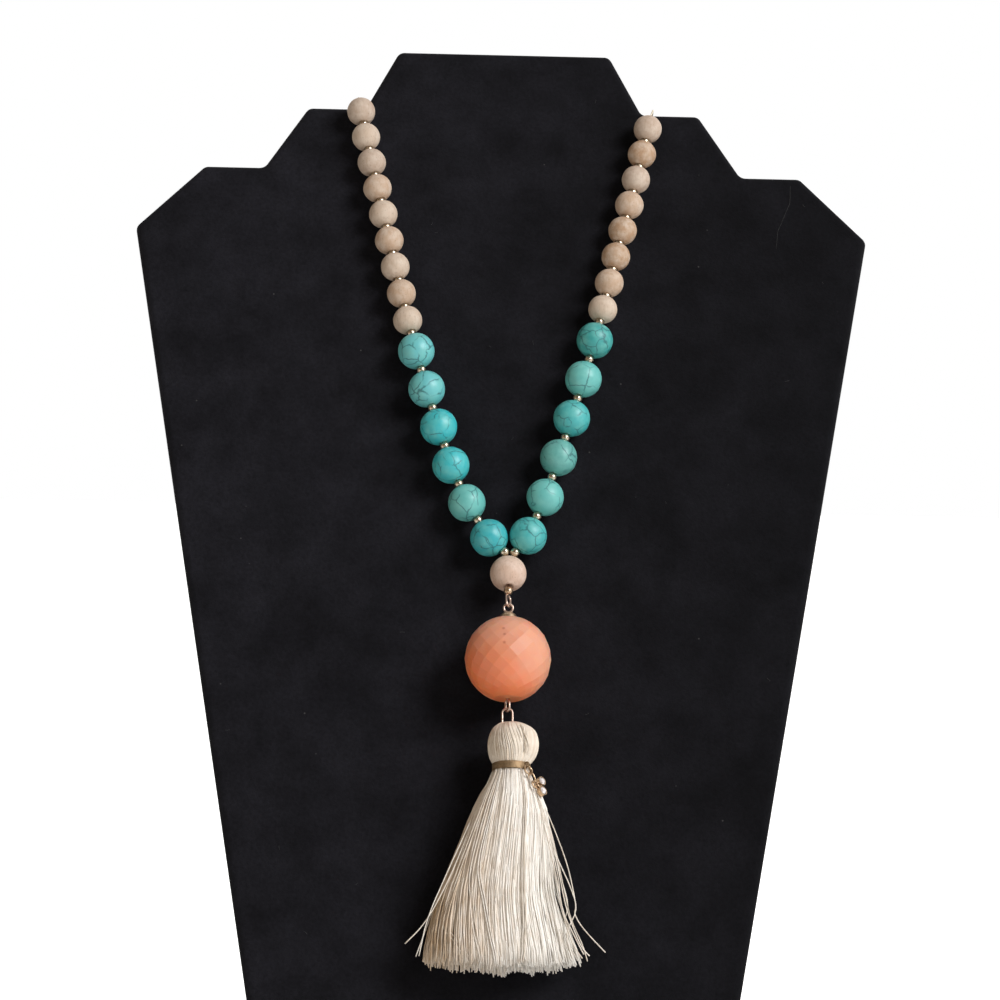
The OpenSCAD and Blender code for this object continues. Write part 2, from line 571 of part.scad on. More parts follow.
// Head and skirt of bound threads, with a lock's groove and crest all the way down
module tassel() color(CREAM) leaned() difference() {
    n = len(LOCK) * locks;
    hem = tassel_rows[len(tassel_rows) - 1];
    inside = [hem[0] + HEM_HOLLOW * skirt_l, hem[1] * INSIDE_SHARE, hem[2] * INSIDE_SHARE,
        hem[3], hem[4], hem[5], 1];
    rows = concat(tassel_rows, [inside]);
    last = len(rows) - 1;
    corners = [for (r = rows, k = [0 : n - 1]) let (t = 360 * k / n,
        size = 1 - r[5] * (1 - LOCK[k % len(LOCK)]), end = sin(LOCK_TURN * floor(k / len(LOCK))),
        drop = pow(r[6], 2) * skirt_l)
        [r[3] + r[1] * size * cos(t), r[4] + r[2] * size * sin(t),
            r[0] + drop * (HEM_RISE * pow(cos(t), 2) + HEM_UNEVEN * end)]];
    middles = [for (r = [rows[0], inside]) [r[3], r[4], r[0]]];
    top = len(corners);
    sides = [for (i = [0 : last - 1], k = [0 : n - 1]) let (m = (k + 1) % n)
        each [[i * n + k, i * n + m, (i + 1) * n + m], [i * n + k, (i + 1) * n + m, (i + 1) * n + k]]];
    ends = [for (k = [0 : n - 1]) let (m = (k + 1) % n)
        each [[top, m, k], [top + 1, last * n + k, last * n + m]]];
    polyhedron(concat(corners, middles), concat(sides, ends));
    tassel_wire(ring_wire + 2 * seat_gap);
}

module band_frame() leaned() translate([neck_x, -drop_out, band_top - band_h / 2])
    rotate([0, 0, charm_turn]) children();

// Band with the eyelet soldered upright on its outside
module tassel_band() color(GOLD) band_frame() {
    difference() {
        cylinder(r = band_r, h = band_h - 2 * seat_gap, center = true);
        cylinder(r = band_r - band_t, h = band_h, center = true);
    }
    translate([0, -eyelet_out, 0]) rotate([0, 0, 90]) wire_ring(eyelet_d, charm_wire);
}

// Frame of the charm's own line, from the eyelet's lower wire down, out and aside
module charm_frame(down) band_frame() translate([0, -eyelet_out, 0]) rotate([-charm_tilt, 0, 0])
    translate([0, 0, -eyelet_d / 2]) rotate([0, -charm_aside, 0]) rotate([0, 0, 90])
    translate([0, 0, -down]) children();
ring_1_down = linked(charm_ring_1_d, 0, charm_wire);
link_down = ring_1_down + linked(charm_ring_1_d, charm_link_l, charm_wire);
ring_2_down = link_down + linked(charm_link_l, charm_ring_2_d, charm_wire);
module charm_ring_1() color(COPPER) charm_frame(ring_1_down) rotate([0, 0, 90])
    wire_ring(charm_ring_1_d, charm_wire);
module charm_link() color(GOLD) charm_frame(link_down + charm_link_l / 2)
    wire_loop(charm_link_w, charm_link_l, charm_wire);
module charm_ring_2() color(GOLD) charm_frame(ring_2_down) rotate([0, 0, 90])
    wire_ring(charm_ring_2_d, charm_wire);

// A cup hangs by its own loop at a turn round the lower jump ring, and faces away from the skirt
cup_loop_down = linked(charm_ring_2_d, CUP_LOOP_D, charm_wire);
cup_down = cup_loop_down + (CUP_LOOP_D + cup_d - cup_wall) / 2;
stone_deep = rhinestone_d * PAVILION_SHARE;
module cup_frame(i, down) charm_frame(ring_2_down) rotate([-CUP_TURNS[i - 1], 0, 0])
    translate([0, 0, -down]) children();
module charm_cup(i) color(GOLD) {
    cup_frame(i, cup_loop_down) wire_ring(CUP_LOOP_D, charm_wire);
    cup_frame(i, cup_down) rotate([0, -90, 0]) difference() {
        cylinder(d = cup_d, h = cup_h, center = true);
        translate([0, 0, cup_h / 2 - stone_deep - seat_gap]) cylinder(d = cup_d - 2 * cup_wall, h = cup_h);
    }
}
// Eight cut sides under the girdle, and eight up to the table
module rhinestone(i) color("white") cup_frame(i, cup_down) rotate([0, -90, 0])
    translate([0, 0, cup_h / 2 - stone_deep]) {
        cylinder(d1 = rhinestone_d * TABLE_SHARE, d2 = rhinestone_d, h = stone_deep, $fn = CUT_SIDES);
        translate([0, 0, stone_deep]) cylinder(d1 = rhinestone_d, d2 = rhinestone_d * TABLE_SHARE,
            h = rhinestone_d * CROWN_SHARE, $fn = CUT_SIDES);
    }

display_board();
easel_leg();
for (i = [0 : len(left_names) - 1]) strung_bead(left_beads, left_spacers, i);
for (i = [0 : len(right_names) - 1]) strung_bead(right_beads, right_spacers, i);
joint_bead();
spacers(left_beads, left_spacers);  // spacers_left
spacers(right_beads, right_spacers);  // spacers_right
wire(left_beads, left_spacers, left_seat);  // wire_left
wire(right_beads, right_spacers, right_seat);  // wire_right
crimp(left_beads);  // crimp_left
crimp(right_beads);  // crimp_right
chain(left_beads);  // chain_left
chain(right_beads);  // chain_right
clasp();
end_bead();
hanging_loop();
drop_cap();
drop_pin();
focal_bead();
tassel_ring();
tassel();
tassel_band();
charm_ring_1();
charm_link();
charm_ring_2();
for (i = [1, 2]) charm_cup(i);
for (i = [1, 2]) rhinestone(i);
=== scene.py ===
"""Finishes, thread work and studio of a tassel necklace on its velvet neck display.

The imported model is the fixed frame. Each operator below makes one piece, or one
group of like pieces, around it, and the panel lists them with their sizes.
"""
import json
import math
import random
from functools import partial

import bmesh
import bpy
from mathutils import Matrix, Vector, noise
from mathutils.bvhtree import BVHTree


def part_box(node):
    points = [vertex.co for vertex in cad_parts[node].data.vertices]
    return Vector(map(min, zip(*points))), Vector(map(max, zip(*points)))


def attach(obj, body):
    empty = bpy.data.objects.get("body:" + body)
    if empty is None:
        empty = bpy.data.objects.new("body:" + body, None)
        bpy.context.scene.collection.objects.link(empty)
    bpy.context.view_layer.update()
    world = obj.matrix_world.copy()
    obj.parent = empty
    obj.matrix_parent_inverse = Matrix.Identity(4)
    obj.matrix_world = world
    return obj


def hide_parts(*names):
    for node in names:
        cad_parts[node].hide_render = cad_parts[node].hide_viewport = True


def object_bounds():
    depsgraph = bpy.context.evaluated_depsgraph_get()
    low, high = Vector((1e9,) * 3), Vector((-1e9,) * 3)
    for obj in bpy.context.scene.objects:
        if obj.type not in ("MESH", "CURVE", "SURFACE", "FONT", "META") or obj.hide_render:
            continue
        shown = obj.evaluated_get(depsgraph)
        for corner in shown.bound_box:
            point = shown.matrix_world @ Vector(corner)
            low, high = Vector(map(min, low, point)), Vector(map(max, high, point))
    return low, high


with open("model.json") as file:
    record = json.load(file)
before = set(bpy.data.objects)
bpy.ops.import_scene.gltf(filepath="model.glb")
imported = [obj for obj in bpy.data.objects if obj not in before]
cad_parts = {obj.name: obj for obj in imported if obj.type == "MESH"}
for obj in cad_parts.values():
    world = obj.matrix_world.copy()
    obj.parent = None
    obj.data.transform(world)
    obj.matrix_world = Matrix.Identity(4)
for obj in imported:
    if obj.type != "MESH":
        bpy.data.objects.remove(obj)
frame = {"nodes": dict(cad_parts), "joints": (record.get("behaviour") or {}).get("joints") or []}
CAD_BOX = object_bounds()

bl_info = {
    "name": "Tassel Necklace Dresser",
    "version": (1, 0, 0),
    "blender": (4, 5, 0),
    "location": "View3D > Sidebar > Necklace",
    "description": "Dresses the solids of a tassel necklace and its display board",
    "category": "Object",
}

MM = 0.001

# The board leans back, and the drop hangs along it. The swing's axis is the board's outward face.
SWING = next(joint for joint in frame["joints"] if joint["name"] == "drop_swing")
OUT = Vector(SWING["axis"]).normalized()
ACROSS = Vector((1, 0, 0))
UP = OUT.cross(ACROSS)
FOOT = Vector((0, CAD_BOX[0][1], 0))


def on_board(across, up, lift):
    """Give the world place of a point on the board: across, up its face and out from it."""
    return FOOT + ACROSS * across + UP * up + OUT * lift


def from_board(point):
    """Give a world point as its places across, up and out from the board's face."""
    leg = Vector(point) - FOOT
    return leg.dot(ACROSS), leg.dot(UP), leg.dot(OUT)


def middle_and_size(box):
    """Give the middle and the size of a box."""
    low, high = (Vector(corner) for corner in box)
    return (low + high) / 2, high - low


def linear(colour):
    """Turn an sRGB hex colour into linear red, green, blue and alpha."""
    shares = [int(colour[i:i + 2], 16) / 255 for i in (1, 3, 5)]
    return tuple(s / 12.92 if s <= 0.04045 else ((s + 0.055) / 1.055) ** 2.4 for s in shares) + (1,)


def blend_step(low, high, value):
    """Rise smoothly from 0 at low to 1 at high."""
    t = min(max((value - low) / (high - low), 0), 1)
    return t * t * (3 - 2 * t)


def hex_property(name, about, colour):
    """Make a colour setting from an sRGB hex value."""
    return bpy.props.FloatVectorProperty(name=name, description=about, default=linear(colour), size=4, min=0,
                                         max=1, subtype="COLOR")


def length_property(name, about, millimetres):
    """Make a length setting from a value in millimetres."""
    return bpy.props.FloatProperty(name=name, description=about, default=millimetres * MM, min=0, precision=5,
                                   unit="LENGTH")


def count_property(name, about, count):
    """Make a setting that counts pieces."""
    return bpy.props.IntProperty(name=name, description=about, default=count, min=0)


def unit_property(name, about, value, unit):
    """Make a setting with a unit of its own."""
    return bpy.props.FloatProperty(name=name, description=about, default=value, unit=unit)


class BoardSettings(bpy.types.PropertyGroup):
    edge_round: length_property("Edge round", "Radius of the padded front edge", 2.3)
    leg_round: length_property("Leg round", "Radius of the leg's edges", 1.2)
    nap: hex_property("Velvet", "Colour of the velvet's pile", "#17171b")
    lint_count: count_property("Lint", "Short fibres lying on the velvet", 30)
    hair_d: length_property("Fibre thickness", "Thickness of a fibre on the velvet", 0.07)


class BeadSettings(bpy.types.PropertyGroup):
    stone_lump: length_property("Stone unevenness", "How far a turquoise bead departs from a ball", 0.07)
    wood_lump: length_property("Wood unevenness", "How far a wood bead departs from a ball", 0.06)
    vein: hex_property("Veins", "Colour of the veins in the turquoise", "#1b5a5e")
    # The peach and ember colours end a slope that is partly the bead's own zoning and partly painted shade
    # and light
    peach: hex_property("Peach", "Pale side of the large faceted bead", "#dea286")
    ember: hex_property("Ember", "Deep side of the large faceted bead", "#ec8656")
    facet_round: length_property("Facet round", "Rounding where the facets meet", 0.35)


class TasselSettings(bpy.types.PropertyGroup):
    thread_d: length_property("Thread", "Thickness of a silk thread", 0.4)
    head_threads: count_property("Head threads", "Threads over the head", 560)
    skirt_threads: count_property("Skirt threads", "Threads on the skirt's outside", 980)
    inner_threads: count_property("Inner threads", "Threads below the outside ones", 620)
    silk_light: hex_property("Pale silk", "Colour of the palest threads", "#f9f5ec")
    # The head's pale silk is the skirt's pale silk made a little darker, as painted shade
    silk_head_shaded: hex_property("Bound silk", "Colour of the palest threads over the head", "#f3ebdd")
    silk_dark: hex_property("Warm silk", "Colour of the darkest threads", "#b48d50")


class StudioSettings(bpy.types.PropertyGroup):
    key_power: unit_property("Key light", "Power of the soft light at the upper right", 13.5, "POWER")
    fill_power: unit_property("Fill light", "Power of the weak light at the left", 0.5, "POWER")
    distance: length_property("Camera distance", "From the camera to the board's face", 590)
    aim_across: length_property("Aim across", "How far right of the middle the camera looks", 0.17)
    aim_height: length_property("Aim height", "How far up the board the camera looks", 180)
    yaw: unit_property("Yaw", "Turn of the camera to the right", math.radians(1.21), "ROTATION")
    roll: unit_property("Roll", "Tilt of the camera about its view", math.radians(1.09), "ROTATION")
    lens: unit_property("Lens", "Focal length in millimetres on a 36 mm sensor", 79.2, "CAMERA")


def add_node(tree, kind, inputs=None, links=None, **settings):
    """Add one shader node with its settings, socket values and links, from sockets or nodes, into it."""
    node = tree.nodes.new("ShaderNode" + kind)
    for name, value in settings.items():
        setattr(node, name, value)
    for name, value in (inputs or {}).items():
        node.inputs[name].default_value = value
    for name, source in (links or {}).items():
        if isinstance(source, bpy.types.Node):
            source = next(output for output in source.outputs if output.enabled)
        tree.links.new(source, node.inputs[name])
    return node


def new_material(name):
    """Make an empty material and give it with the function that adds its nodes."""
    material = bpy.data.materials.new(name)
    material.use_nodes = True
    material.node_tree.nodes.clear()
    return material, partial(add_node, material.node_tree)


def millimetre_places(add, stretch=(1, 1, 1)):
    """Give places on the object in millimetres, with each axis scaled by stretch."""
    where = add("TexCoord")
    return add("Mapping", {"Scale": [s / MM for s in stretch]}, {"Vector": where.outputs["Object"]})


def blotched(add, size, first, second, detail=3):
    """Give a colour that wavers between two, in blotches of a size in millimetres."""
    blotches = add("TexNoise", {"Scale": 1 / size, "Detail": detail}, {"Vector": millimetre_places(add)})
    return add("Mix", {"A": linear(first), "B": linear(second)}, {"Factor": blotches}, data_type="RGBA")


def shaded(material, inputs, links):
    """End a material with the main shader and its output, and give it back."""
    shader = add_node(material.node_tree, "BsdfPrincipled", inputs, links)
    add_node(material.node_tree, "OutputMaterial", links={"Surface": shader})
    return material


def cotton_velvet(nap):
    """Cotton velvet, woven and cut: a black pile that drinks light and pales at grazing angles."""
    material, add = new_material("cotton_velvet_cut_pile")
    places = millimetre_places(add)
    # Brushed patches of pile are about 14 mm wide
    patches = add("TexNoise", {"Scale": 1 / 14, "Detail": 4, "Roughness": 0.6}, {"Vector": places})
    pile = add("TexNoise", {"Scale": 1 / 0.9, "Detail": 3, "Roughness": 0.7}, {"Vector": places})
    shade = add("MapRange", {"From Min": 0.3, "From Max": 0.7, "To Min": 0.6, "To Max": 1.4},
                {"Value": patches})
    grain = add("MapRange", {"From Min": 0.3, "From Max": 0.7, "To Min": 0.7, "To Max": 1.3}, {"Value": pile})
    product = add("Math", operation="MULTIPLY", links={0: shade, 1: grain})
    # Painted shade: the pile's colour is made paler at the left and darker at the right, standing in for how
    # the pile, brushed to one side, catches the light
    sides = add("SeparateXYZ", links={"Vector": places})
    brushed = add("MapRange", {"From Min": -90, "From Max": 90, "To Min": 1.2, "To Max": 0.5},
                  {"Value": sides.outputs["X"]})
    nap_and_painted_shade = add("Math", operation="MULTIPLY", links={0: product, 1: brushed})
    # Dust is drawn as specks about 0.25 mm wide, one in some 9 mm
    dust = add("TexVoronoi", {"Scale": 1 / 9}, {"Vector": places})
    speck = add("MapRange", {"From Min": 0.012, "From Max": 0.03, "To Min": 1, "To Max": 0}, {"Value": dust})
    tinted = add("VectorMath", {0: nap[:3]}, {"Scale": nap_and_painted_shade}, operation="SCALE")
    dust_and_painted_shade = add("Mix", {"B": linear("#4a4949")}, {"Factor": speck, "A": tinted}, data_type="RGBA")
    bump = add("Bump", {"Strength": 0.5, "Distance": 0.25 * MM}, {"Height": pile})
    return shaded(material, {"Roughness": 0.95, "Specular IOR Level": 0.12, "Sheen Weight": 0.06,
                             "Sheen Roughness": 0.35, "Sheen Tint": linear("#8f929c")},
                  {"Base Color": dust_and_painted_shade, "Normal": bump})


def polished_turquoise(vein):
    """Turquoise, cut and polished: waxy gloss over a cloudy blue green with thin dark veins."""
    material, add = new_material("turquoise_polished")
    places = millimetre_places(add)
    tint = add("ObjectInfo")
    clouds = add("TexNoise", {"Scale": 1 / 2.6, "Detail": 5, "Roughness": 0.62}, {"Vector": places})
    cloud_share = add("MapRange", {"From Min": 0.4, "From Max": 0.7, "To Max": 0.5}, {"Value": clouds})
    cloudy = add("Mix", {"B": linear("#7fcabf")}, {"Factor": cloud_share, "A": tint.outputs["Color"]},
                 data_type="RGBA")
    # Veins run between fields about 4.6 mm wide, bent by a finer drift
    drift = add("TexNoise", {"Scale": 1 / 2.2, "Detail": 2.5}, {"Vector": places})
    bent = add("VectorMath", {1: (1.7, 1.7, 1.7)}, {0: drift.outputs["Color"], 2: places},
               operation="MULTIPLY_ADD")
    fields = add("TexVoronoi", {"Scale": 1 / 4.6}, {"Vector": bent}, feature="DISTANCE_TO_EDGE")
    line = add("MapRange", {"From Min": 0.006, "From Max": 0.044, "To Min": 1, "To Max": 0},
               {"Value": fields})
    where = add("TexNoise", {"Scale": 1 / 4.2}, {"Vector": places})
    kept = add("MapRange", {"From Min": 0.4, "From Max": 0.52, "To Max": 0.8}, {"Value": where})
    veins = add("Math", operation="MULTIPLY", links={0: line, 1: kept})
    stone = add("Mix", {"B": vein}, {"Factor": veins, "A": cloudy}, data_type="RGBA")
    rough = add("MapRange", {"To Min": 0.43, "To Max": 0.55}, {"Value": veins})
    relief = add("Math", {1: -1}, {0: veins}, operation="MULTIPLY")
    bump = add("Bump", {"Strength": 0.6, "Distance": 0.05 * MM}, {"Height": relief})
    return shaded(material, {"IOR": 1.6, "Specular IOR Level": 0.45, "Subsurface Weight": 0.1,
                             "Subsurface Radius": (0.3, 0.6, 0.6), "Subsurface Scale": MM},
                  {"Base Color": stone, "Roughness": rough, "Normal": bump})


def sanded_wood(name, pale):
    """Pale hardwood, turned and sanded: dull, with short pores and a washed, chalky grain."""
    material, add = new_material(name)
    tint = add("ObjectInfo")
    # Fibres are about 0.5 mm apart and six times as long
    fibre_places = millimetre_places(add, (1 / 0.5, 1 / 0.5, 1 / 3))
    fibres = add("TexNoise", {"Scale": 1, "Detail": 4, "Roughness": 0.65}, {"Vector": fibre_places})
    places = millimetre_places(add)
    wash = add("TexNoise", {"Scale": 1 / 2.2, "Detail": 4, "Roughness": 0.6}, {"Vector": places})
    wash_share = add("MapRange", {"From Min": 0.38, "From Max": 0.68, "To Max": 0.55}, {"Value": wash})
    washed = add("Mix", {"B": pale}, {"Factor": wash_share, "A": tint.outputs["Color"]}, data_type="RGBA")
    streak = add("MapRange", {"From Min": 0.5, "From Max": 0.72, "To Max": 0.3}, {"Value": fibres})
    grained = add("Mix", {"B": linear("#8c6b4a")}, {"Factor": streak, "A": washed}, data_type="RGBA")
    # Pores are dots of about 0.2 mm, one in some 0.9 mm
    pore_cells = add("TexVoronoi", {"Scale": 1 / 0.9}, {"Vector": places})
    pores = add("MapRange", {"From Min": 0.08, "From Max": 0.2, "To Min": 1, "To Max": 0},
                {"Value": pore_cells})
    pore_share = add("Math", {1: 0.3}, {0: pores}, operation="MULTIPLY")
    dotted = add("Mix", {"B": linear("#5d432c")}, {"Factor": pore_share, "A": grained}, data_type="RGBA")
    height = add("Math", operation="SUBTRACT", links={0: fibres, 1: pores})
    bump = add("Bump", {"Strength": 0.45, "Distance": 0.08 * MM}, {"Height": height})
    return shaded(material, {"Roughness": 0.62, "IOR": 1.5, "Specular IOR Level": 0.35},
                  {"Base Color": dotted, "Normal": bump})


def worn_metal(name, colour, tarnish, roughness, grain=0.5):
    """Plated brass or copper wire, drawn and tumbled: bright, with dull tarnish in fine blotches."""
    material, add = new_material(name)
    places = millimetre_places(add)
    blotches = add("TexNoise", {"Scale": 1 / grain, "Detail": 4, "Roughness": 0.6}, {"Vector": places})
    share = add("MapRange", {"From Min": 0.42, "From Max": 0.72, "To Max": 0.7}, {"Value": blotches})
    mixed = add("Mix", {"A": linear(colour), "B": linear(tarnish)}, {"Factor": share}, data_type="RGBA")
    rough = add("MapRange", {"To Min": roughness, "To Max": roughness + 0.25}, {"Value": share})
    bump = add("Bump", {"Strength": 0.2, "Distance": 0.02 * MM}, {"Height": blotches})
    return shaded(material, {"Metallic": 1}, {"Base Color": mixed, "Roughness": rough, "Normal": bump})


# Places of the large bead's inclusions across and up its front, as shares of its radius
INCLUSIONS = ((-0.13, 0.49), (-0.11, 0.33), (-0.11, 0.12))


def faceted_agate(peach, ember):
    """Agate, ground in soft facets and polished: cloudy peach, deeper orange on its lower side, partly by its
    own zoning and partly as painted shade and painted light through the stone.
    """
    material, add = new_material("agate_peach_ground_facets")
    places = millimetre_places(add)
    where = add("TexCoord")
    # Partly the stone's own zoning and partly painted shade and light: the colour deepens from the lit upper
    # right to the lower left over the bead's own width
    centre, size = middle_and_size(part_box("focal_bead"))
    centred = add("VectorMath", {1: -centre}, {0: where.outputs["Object"]}, operation="ADD")
    lit_side_slope = add("VectorMath", {1: (0.62, 0.0, 0.78)}, {0: centred}, operation="DOT_PRODUCT")
    clouds = add("TexNoise", {"Scale": 1 / 7, "Detail": 3, "Roughness": 0.55}, {"Vector": places})
    cloud_push = add("MapRange", {"From Min": 0.3, "From Max": 0.7, "To Min": -1.7 * MM, "To Max": 1.7 * MM},
                     {"Value": clouds})
    lit_side_and_clouds = add("Math", operation="ADD", links={0: lit_side_slope, 1: cloud_push})
    share = add("MapRange", {"From Min": -9 * MM, "From Max": 7 * MM}, {"Value": lit_side_and_clouds},
                interpolation_type="SMOOTHSTEP")
    last = add("Mix", {"A": ember, "B": peach}, {"Factor": share}, data_type="RGBA")
    # Rust inclusions show on the front, each about 1 mm wide
    for across, up in INCLUSIONS:
        arm = ACROSS * across + UP * up + OUT * math.sqrt(1 - across ** 2 - up ** 2)
        spot = centre + arm * size.x / 2
        away = add("VectorMath", {1: spot}, {0: where.outputs["Object"]}, operation="DISTANCE")
        dot = add("MapRange", {"From Min": 0.15 * MM, "From Max": 0.6 * MM, "To Min": 0.55, "To Max": 0},
                  {"Value": away}, interpolation_type="SMOOTHSTEP")
        last = add("Mix", {"B": linear("#a5523c")}, {"Factor": dot, "A": last}, data_type="RGBA")
    return shaded(material, {"Roughness": 0.3, "IOR": 1.54, "Specular IOR Level": 0.25,
                             "Subsurface Weight": 0.85, "Sheen Weight": 0.12, "Sheen Roughness": 0.3,
                             "Sheen Tint": linear("#ecd9dc"), "Subsurface Radius": (1.0, 0.42, 0.22),
                             "Subsurface Scale": 6 * MM},
                  {"Base Color": last})


def silk_thread(name, light, dark, shaded_left=False):
    """Viscose silk, spun and twisted: a cream thread with a soft lustre and a fine slanting twist."""
    material, add = new_material(name)
    island = add("NewGeometry")
    places = millimetre_places(add)
    shading = add("TexNoise", {"Scale": 1 / 3, "Detail": 3}, {"Vector": places})
    share = add("Math", {1: 0.5, 2: -0.16}, {0: shading}, operation="MULTIPLY_ADD")
    if shaded_left:
        # Painted shade: the skirt's threads are made darker and warmer to the left, where they lie in the
        # bead's and their own shade, and paler to the right
        where = add("TexCoord")
        spot = add("SeparateXYZ", links={"Vector": where.outputs["Object"]})
        left_shade = add("MapRange", {"From Min": -13 * MM, "From Max": 9 * MM, "To Min": 0.34, "To Max": -0.23},
                     {"Value": spot.outputs["X"]})
        share = add("Math", operation="ADD", links={0: share, 1: left_shade})
    mixed_share = add("Math", {1: 0.3}, {0: island.outputs["Random Per Island"], 2: share},
                      operation="MULTIPLY_ADD", use_clamp=True)
    colour = add("Mix", {"A": light, "B": dark}, {"Factor": mixed_share}, data_type="RGBA")
    # The twist repeats about each 0.7 mm along the thread
    strands = add("UVMap", uv_map="thread")
    twist = add("TexWave", {"Scale": 1, "Distortion": 0.4}, {"Vector": strands}, bands_direction="DIAGONAL")
    bump = add("Bump", {"Strength": 0.35, "Distance": 0.05 * MM}, {"Height": twist.outputs["Fac"]})
    return shaded(material, {"Roughness": 0.42, "IOR": 1.5, "Specular IOR Level": 0.5, "Sheen Weight": 0.12,
                             "Sheen Roughness": 0.4, "Sheen Tint": linear("#fff6e6")},
                  {"Base Color": colour, "Normal": bump})


def silk_core(light, dark):
    """Viscose silk under the outer threads: its colour halved as painted shade, with fine ribs that run down
    the skirt.
    """
    material, add = new_material("silk_core_painted_shade")
    ribs = add("TexNoise", {"Scale": 1, "Detail": 3},
               {"Vector": millimetre_places(add, (1 / 0.5, 1 / 0.5, 1 / 9))})
    colour = add("Mix", {"A": dark, "B": light}, {"Factor": ribs}, data_type="RGBA")
    painted_shade_colour = add("VectorMath", {"Scale": 0.5}, {0: colour}, operation="SCALE")
    bump = add("Bump", {"Strength": 0.8, "Distance": 0.3 * MM}, {"Height": ribs})
    return shaded(material, {"Roughness": 0.6, "Specular IOR Level": 0.3},
                  {"Base Color": painted_shade_colour, "Normal": bump})


def beading_thread():
    """Nylon beading thread, twisted and waxed: cream, dull and slightly fuzzy."""
    material, add = new_material("nylon_thread_waxed")
    fuzz = add("TexNoise", {"Scale": 1 / 0.3, "Detail": 3}, {"Vector": millimetre_places(add)})
    colour = add("Mix", {"A": linear("#cfc2a8"), "B": linear("#efe6d2")}, {"Factor": fuzz}, data_type="RGBA")
    bump = add("Bump", {"Strength": 0.4, "Distance": 0.05 * MM}, {"Height": fuzz})
    return shaded(material, {"Roughness": 0.7}, {"Base Color": colour, "Normal": bump})


def cut_crystal():
    """Lead glass, cut and backed with foil: clear, sharp facets that flash white and a little pink."""
    material, add = new_material("crystal_cut_foiled")
    colour = blotched(add, 0.8, "#ffffff", "#ecdcd6", 1)
    return shaded(material, {"Roughness": 0.08, "IOR": 1.6, "Coat Weight": 0.6, "Metallic": 0.35},
                  {"Base Color": colour})


def studio_paper():
    """Matte white paper sweep that glows behind the board by painted light, so that it whitens beyond the
    board.
    """
    material, add = new_material("paper_white_matte")
    colour = blotched(add, 6, "#f6f5f3", "#fbfbfa")
    where = add("NewGeometry")
    back = add("SeparateXYZ", links={"Vector": where.outputs["Position"]})
    # Painted light: the paper glows more the farther it lies behind the board
    glow = add("MapRange", {"From Max": 0.14, "To Max": 0.85}, {"Value": back.outputs["Y"]},
               interpolation_type="SMOOTHSTEP")
    return shaded(material, {"Roughness": 0.9, "Emission Color": linear("#ffffff")},
                  {"Base Color": colour, "Emission Strength": glow})


def welded_copy(node):
    """Copy the mesh of a node with the points of its faces joined, and give it for editing."""
    mesh = bmesh.new()
    mesh.from_mesh(frame["nodes"][node].data)
    bmesh.ops.remove_doubles(mesh, verts=mesh.verts, dist=1e-6)
    return mesh


def flat_faced_copy(node, degrees=1):
    """Copy the mesh of a node, with the triangles of each flat face merged."""
    mesh = welded_copy(node)
    bmesh.ops.dissolve_limit(mesh, angle_limit=math.radians(degrees), verts=mesh.verts, edges=mesh.edges)
    return mesh


def add_piece(name, mesh, material, body, slot, *nodes, smooth=True):
    """Add a piece from a mesh, riding on a body and standing for the nodes named."""
    data = mesh
    if isinstance(mesh, bmesh.types.BMesh):
        data = bpy.data.meshes.new(name)
        mesh.to_mesh(data)
        mesh.free()
    data.polygons.foreach_set("use_smooth", [smooth] * len(data.polygons))
    if data.has_custom_normals:
        data.normals_split_custom_set([(0, 0, 0)] * len(data.loops))
    data.materials.append(material)
    piece = bpy.data.objects.new(name, data)
    bpy.context.scene.collection.objects.link(piece)
    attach(piece, body)
    if nodes:
        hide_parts(*nodes)
    return piece


def dress(material, *nodes):
    """Give the solids named a material in each of their slots."""
    for name in nodes:
        for slot in frame["nodes"][name].material_slots:
            slot.material = material


def tube_mesh(name, lines, thickness, sides=4):
    """Make one mesh of tubes along lines of points, with the run of each in a layer of its own."""
    points, faces, runs = [], [], []
    for line in lines:
        first = len(points)
        last = len(line) - 1
        run = 0
        for i, place in enumerate(line):
            ahead = line[min(i + 1, last)] - line[max(i - 1, 0)]
            side = ahead.cross(OUT)
            if side.length < 1e-9:
                side = ahead.cross(ACROSS)
            side.normalize()
            front = side.cross(ahead).normalized()
            run += (line[i] - line[max(i - 1, 0)]).length
            for k in range(sides):
                turn = 2 * math.pi * (k + 0.5) / sides
                points.append(place + (side * math.cos(turn) + front * math.sin(turn)) * (thickness / 2))
            if i:
                base = first + (i - 1) * sides
                for k in range(sides):
                    after = (k + 1) % sides
                    faces.append((base + k, base + after, base + sides + after, base + sides + k))
                    runs.append((k, run))
        faces.append(tuple(first + k for k in reversed(range(sides))))
        faces.append(tuple(first + last * sides + k for k in range(sides)))
        runs += [(0, 0), (0, run)]
    data = bpy.data.meshes.new(name)
    data.from_pydata(points, [], faces)
    layer = data.uv_layers.new(name="thread")
    places = []
    for face, (k, run) in zip(data.polygons, runs):
        for corner in range(face.loop_total):
            places += [(k + (corner in (1, 2))) / sides, run / MM]
    layer.data.foreach_set("uv", places)
    return data


# Velvet board and its leg
def rounded_panel(name, node, radius, material):
    """Round the edges of a flat panel and stand it for its solid."""
    mesh = flat_faced_copy(node)
    sharp = [edge for edge in mesh.edges if edge.calc_face_angle(0) > math.radians(60)]
    # The board's rim is where its large faces end, and a plain slab is rounded all over
    rim = [edge for edge in sharp if max(len(face.verts) for face in edge.link_faces) > 4] or sharp
    bmesh.ops.bevel(mesh, geom=rim, offset=radius, segments=6, profile=0.5, affect="EDGES",
                    clamp_overlap=False)
    panel = add_piece(name, mesh, material, "root", "velvet", node)
    panel.modifiers.new("flat faces", "WEIGHTED_NORMAL")


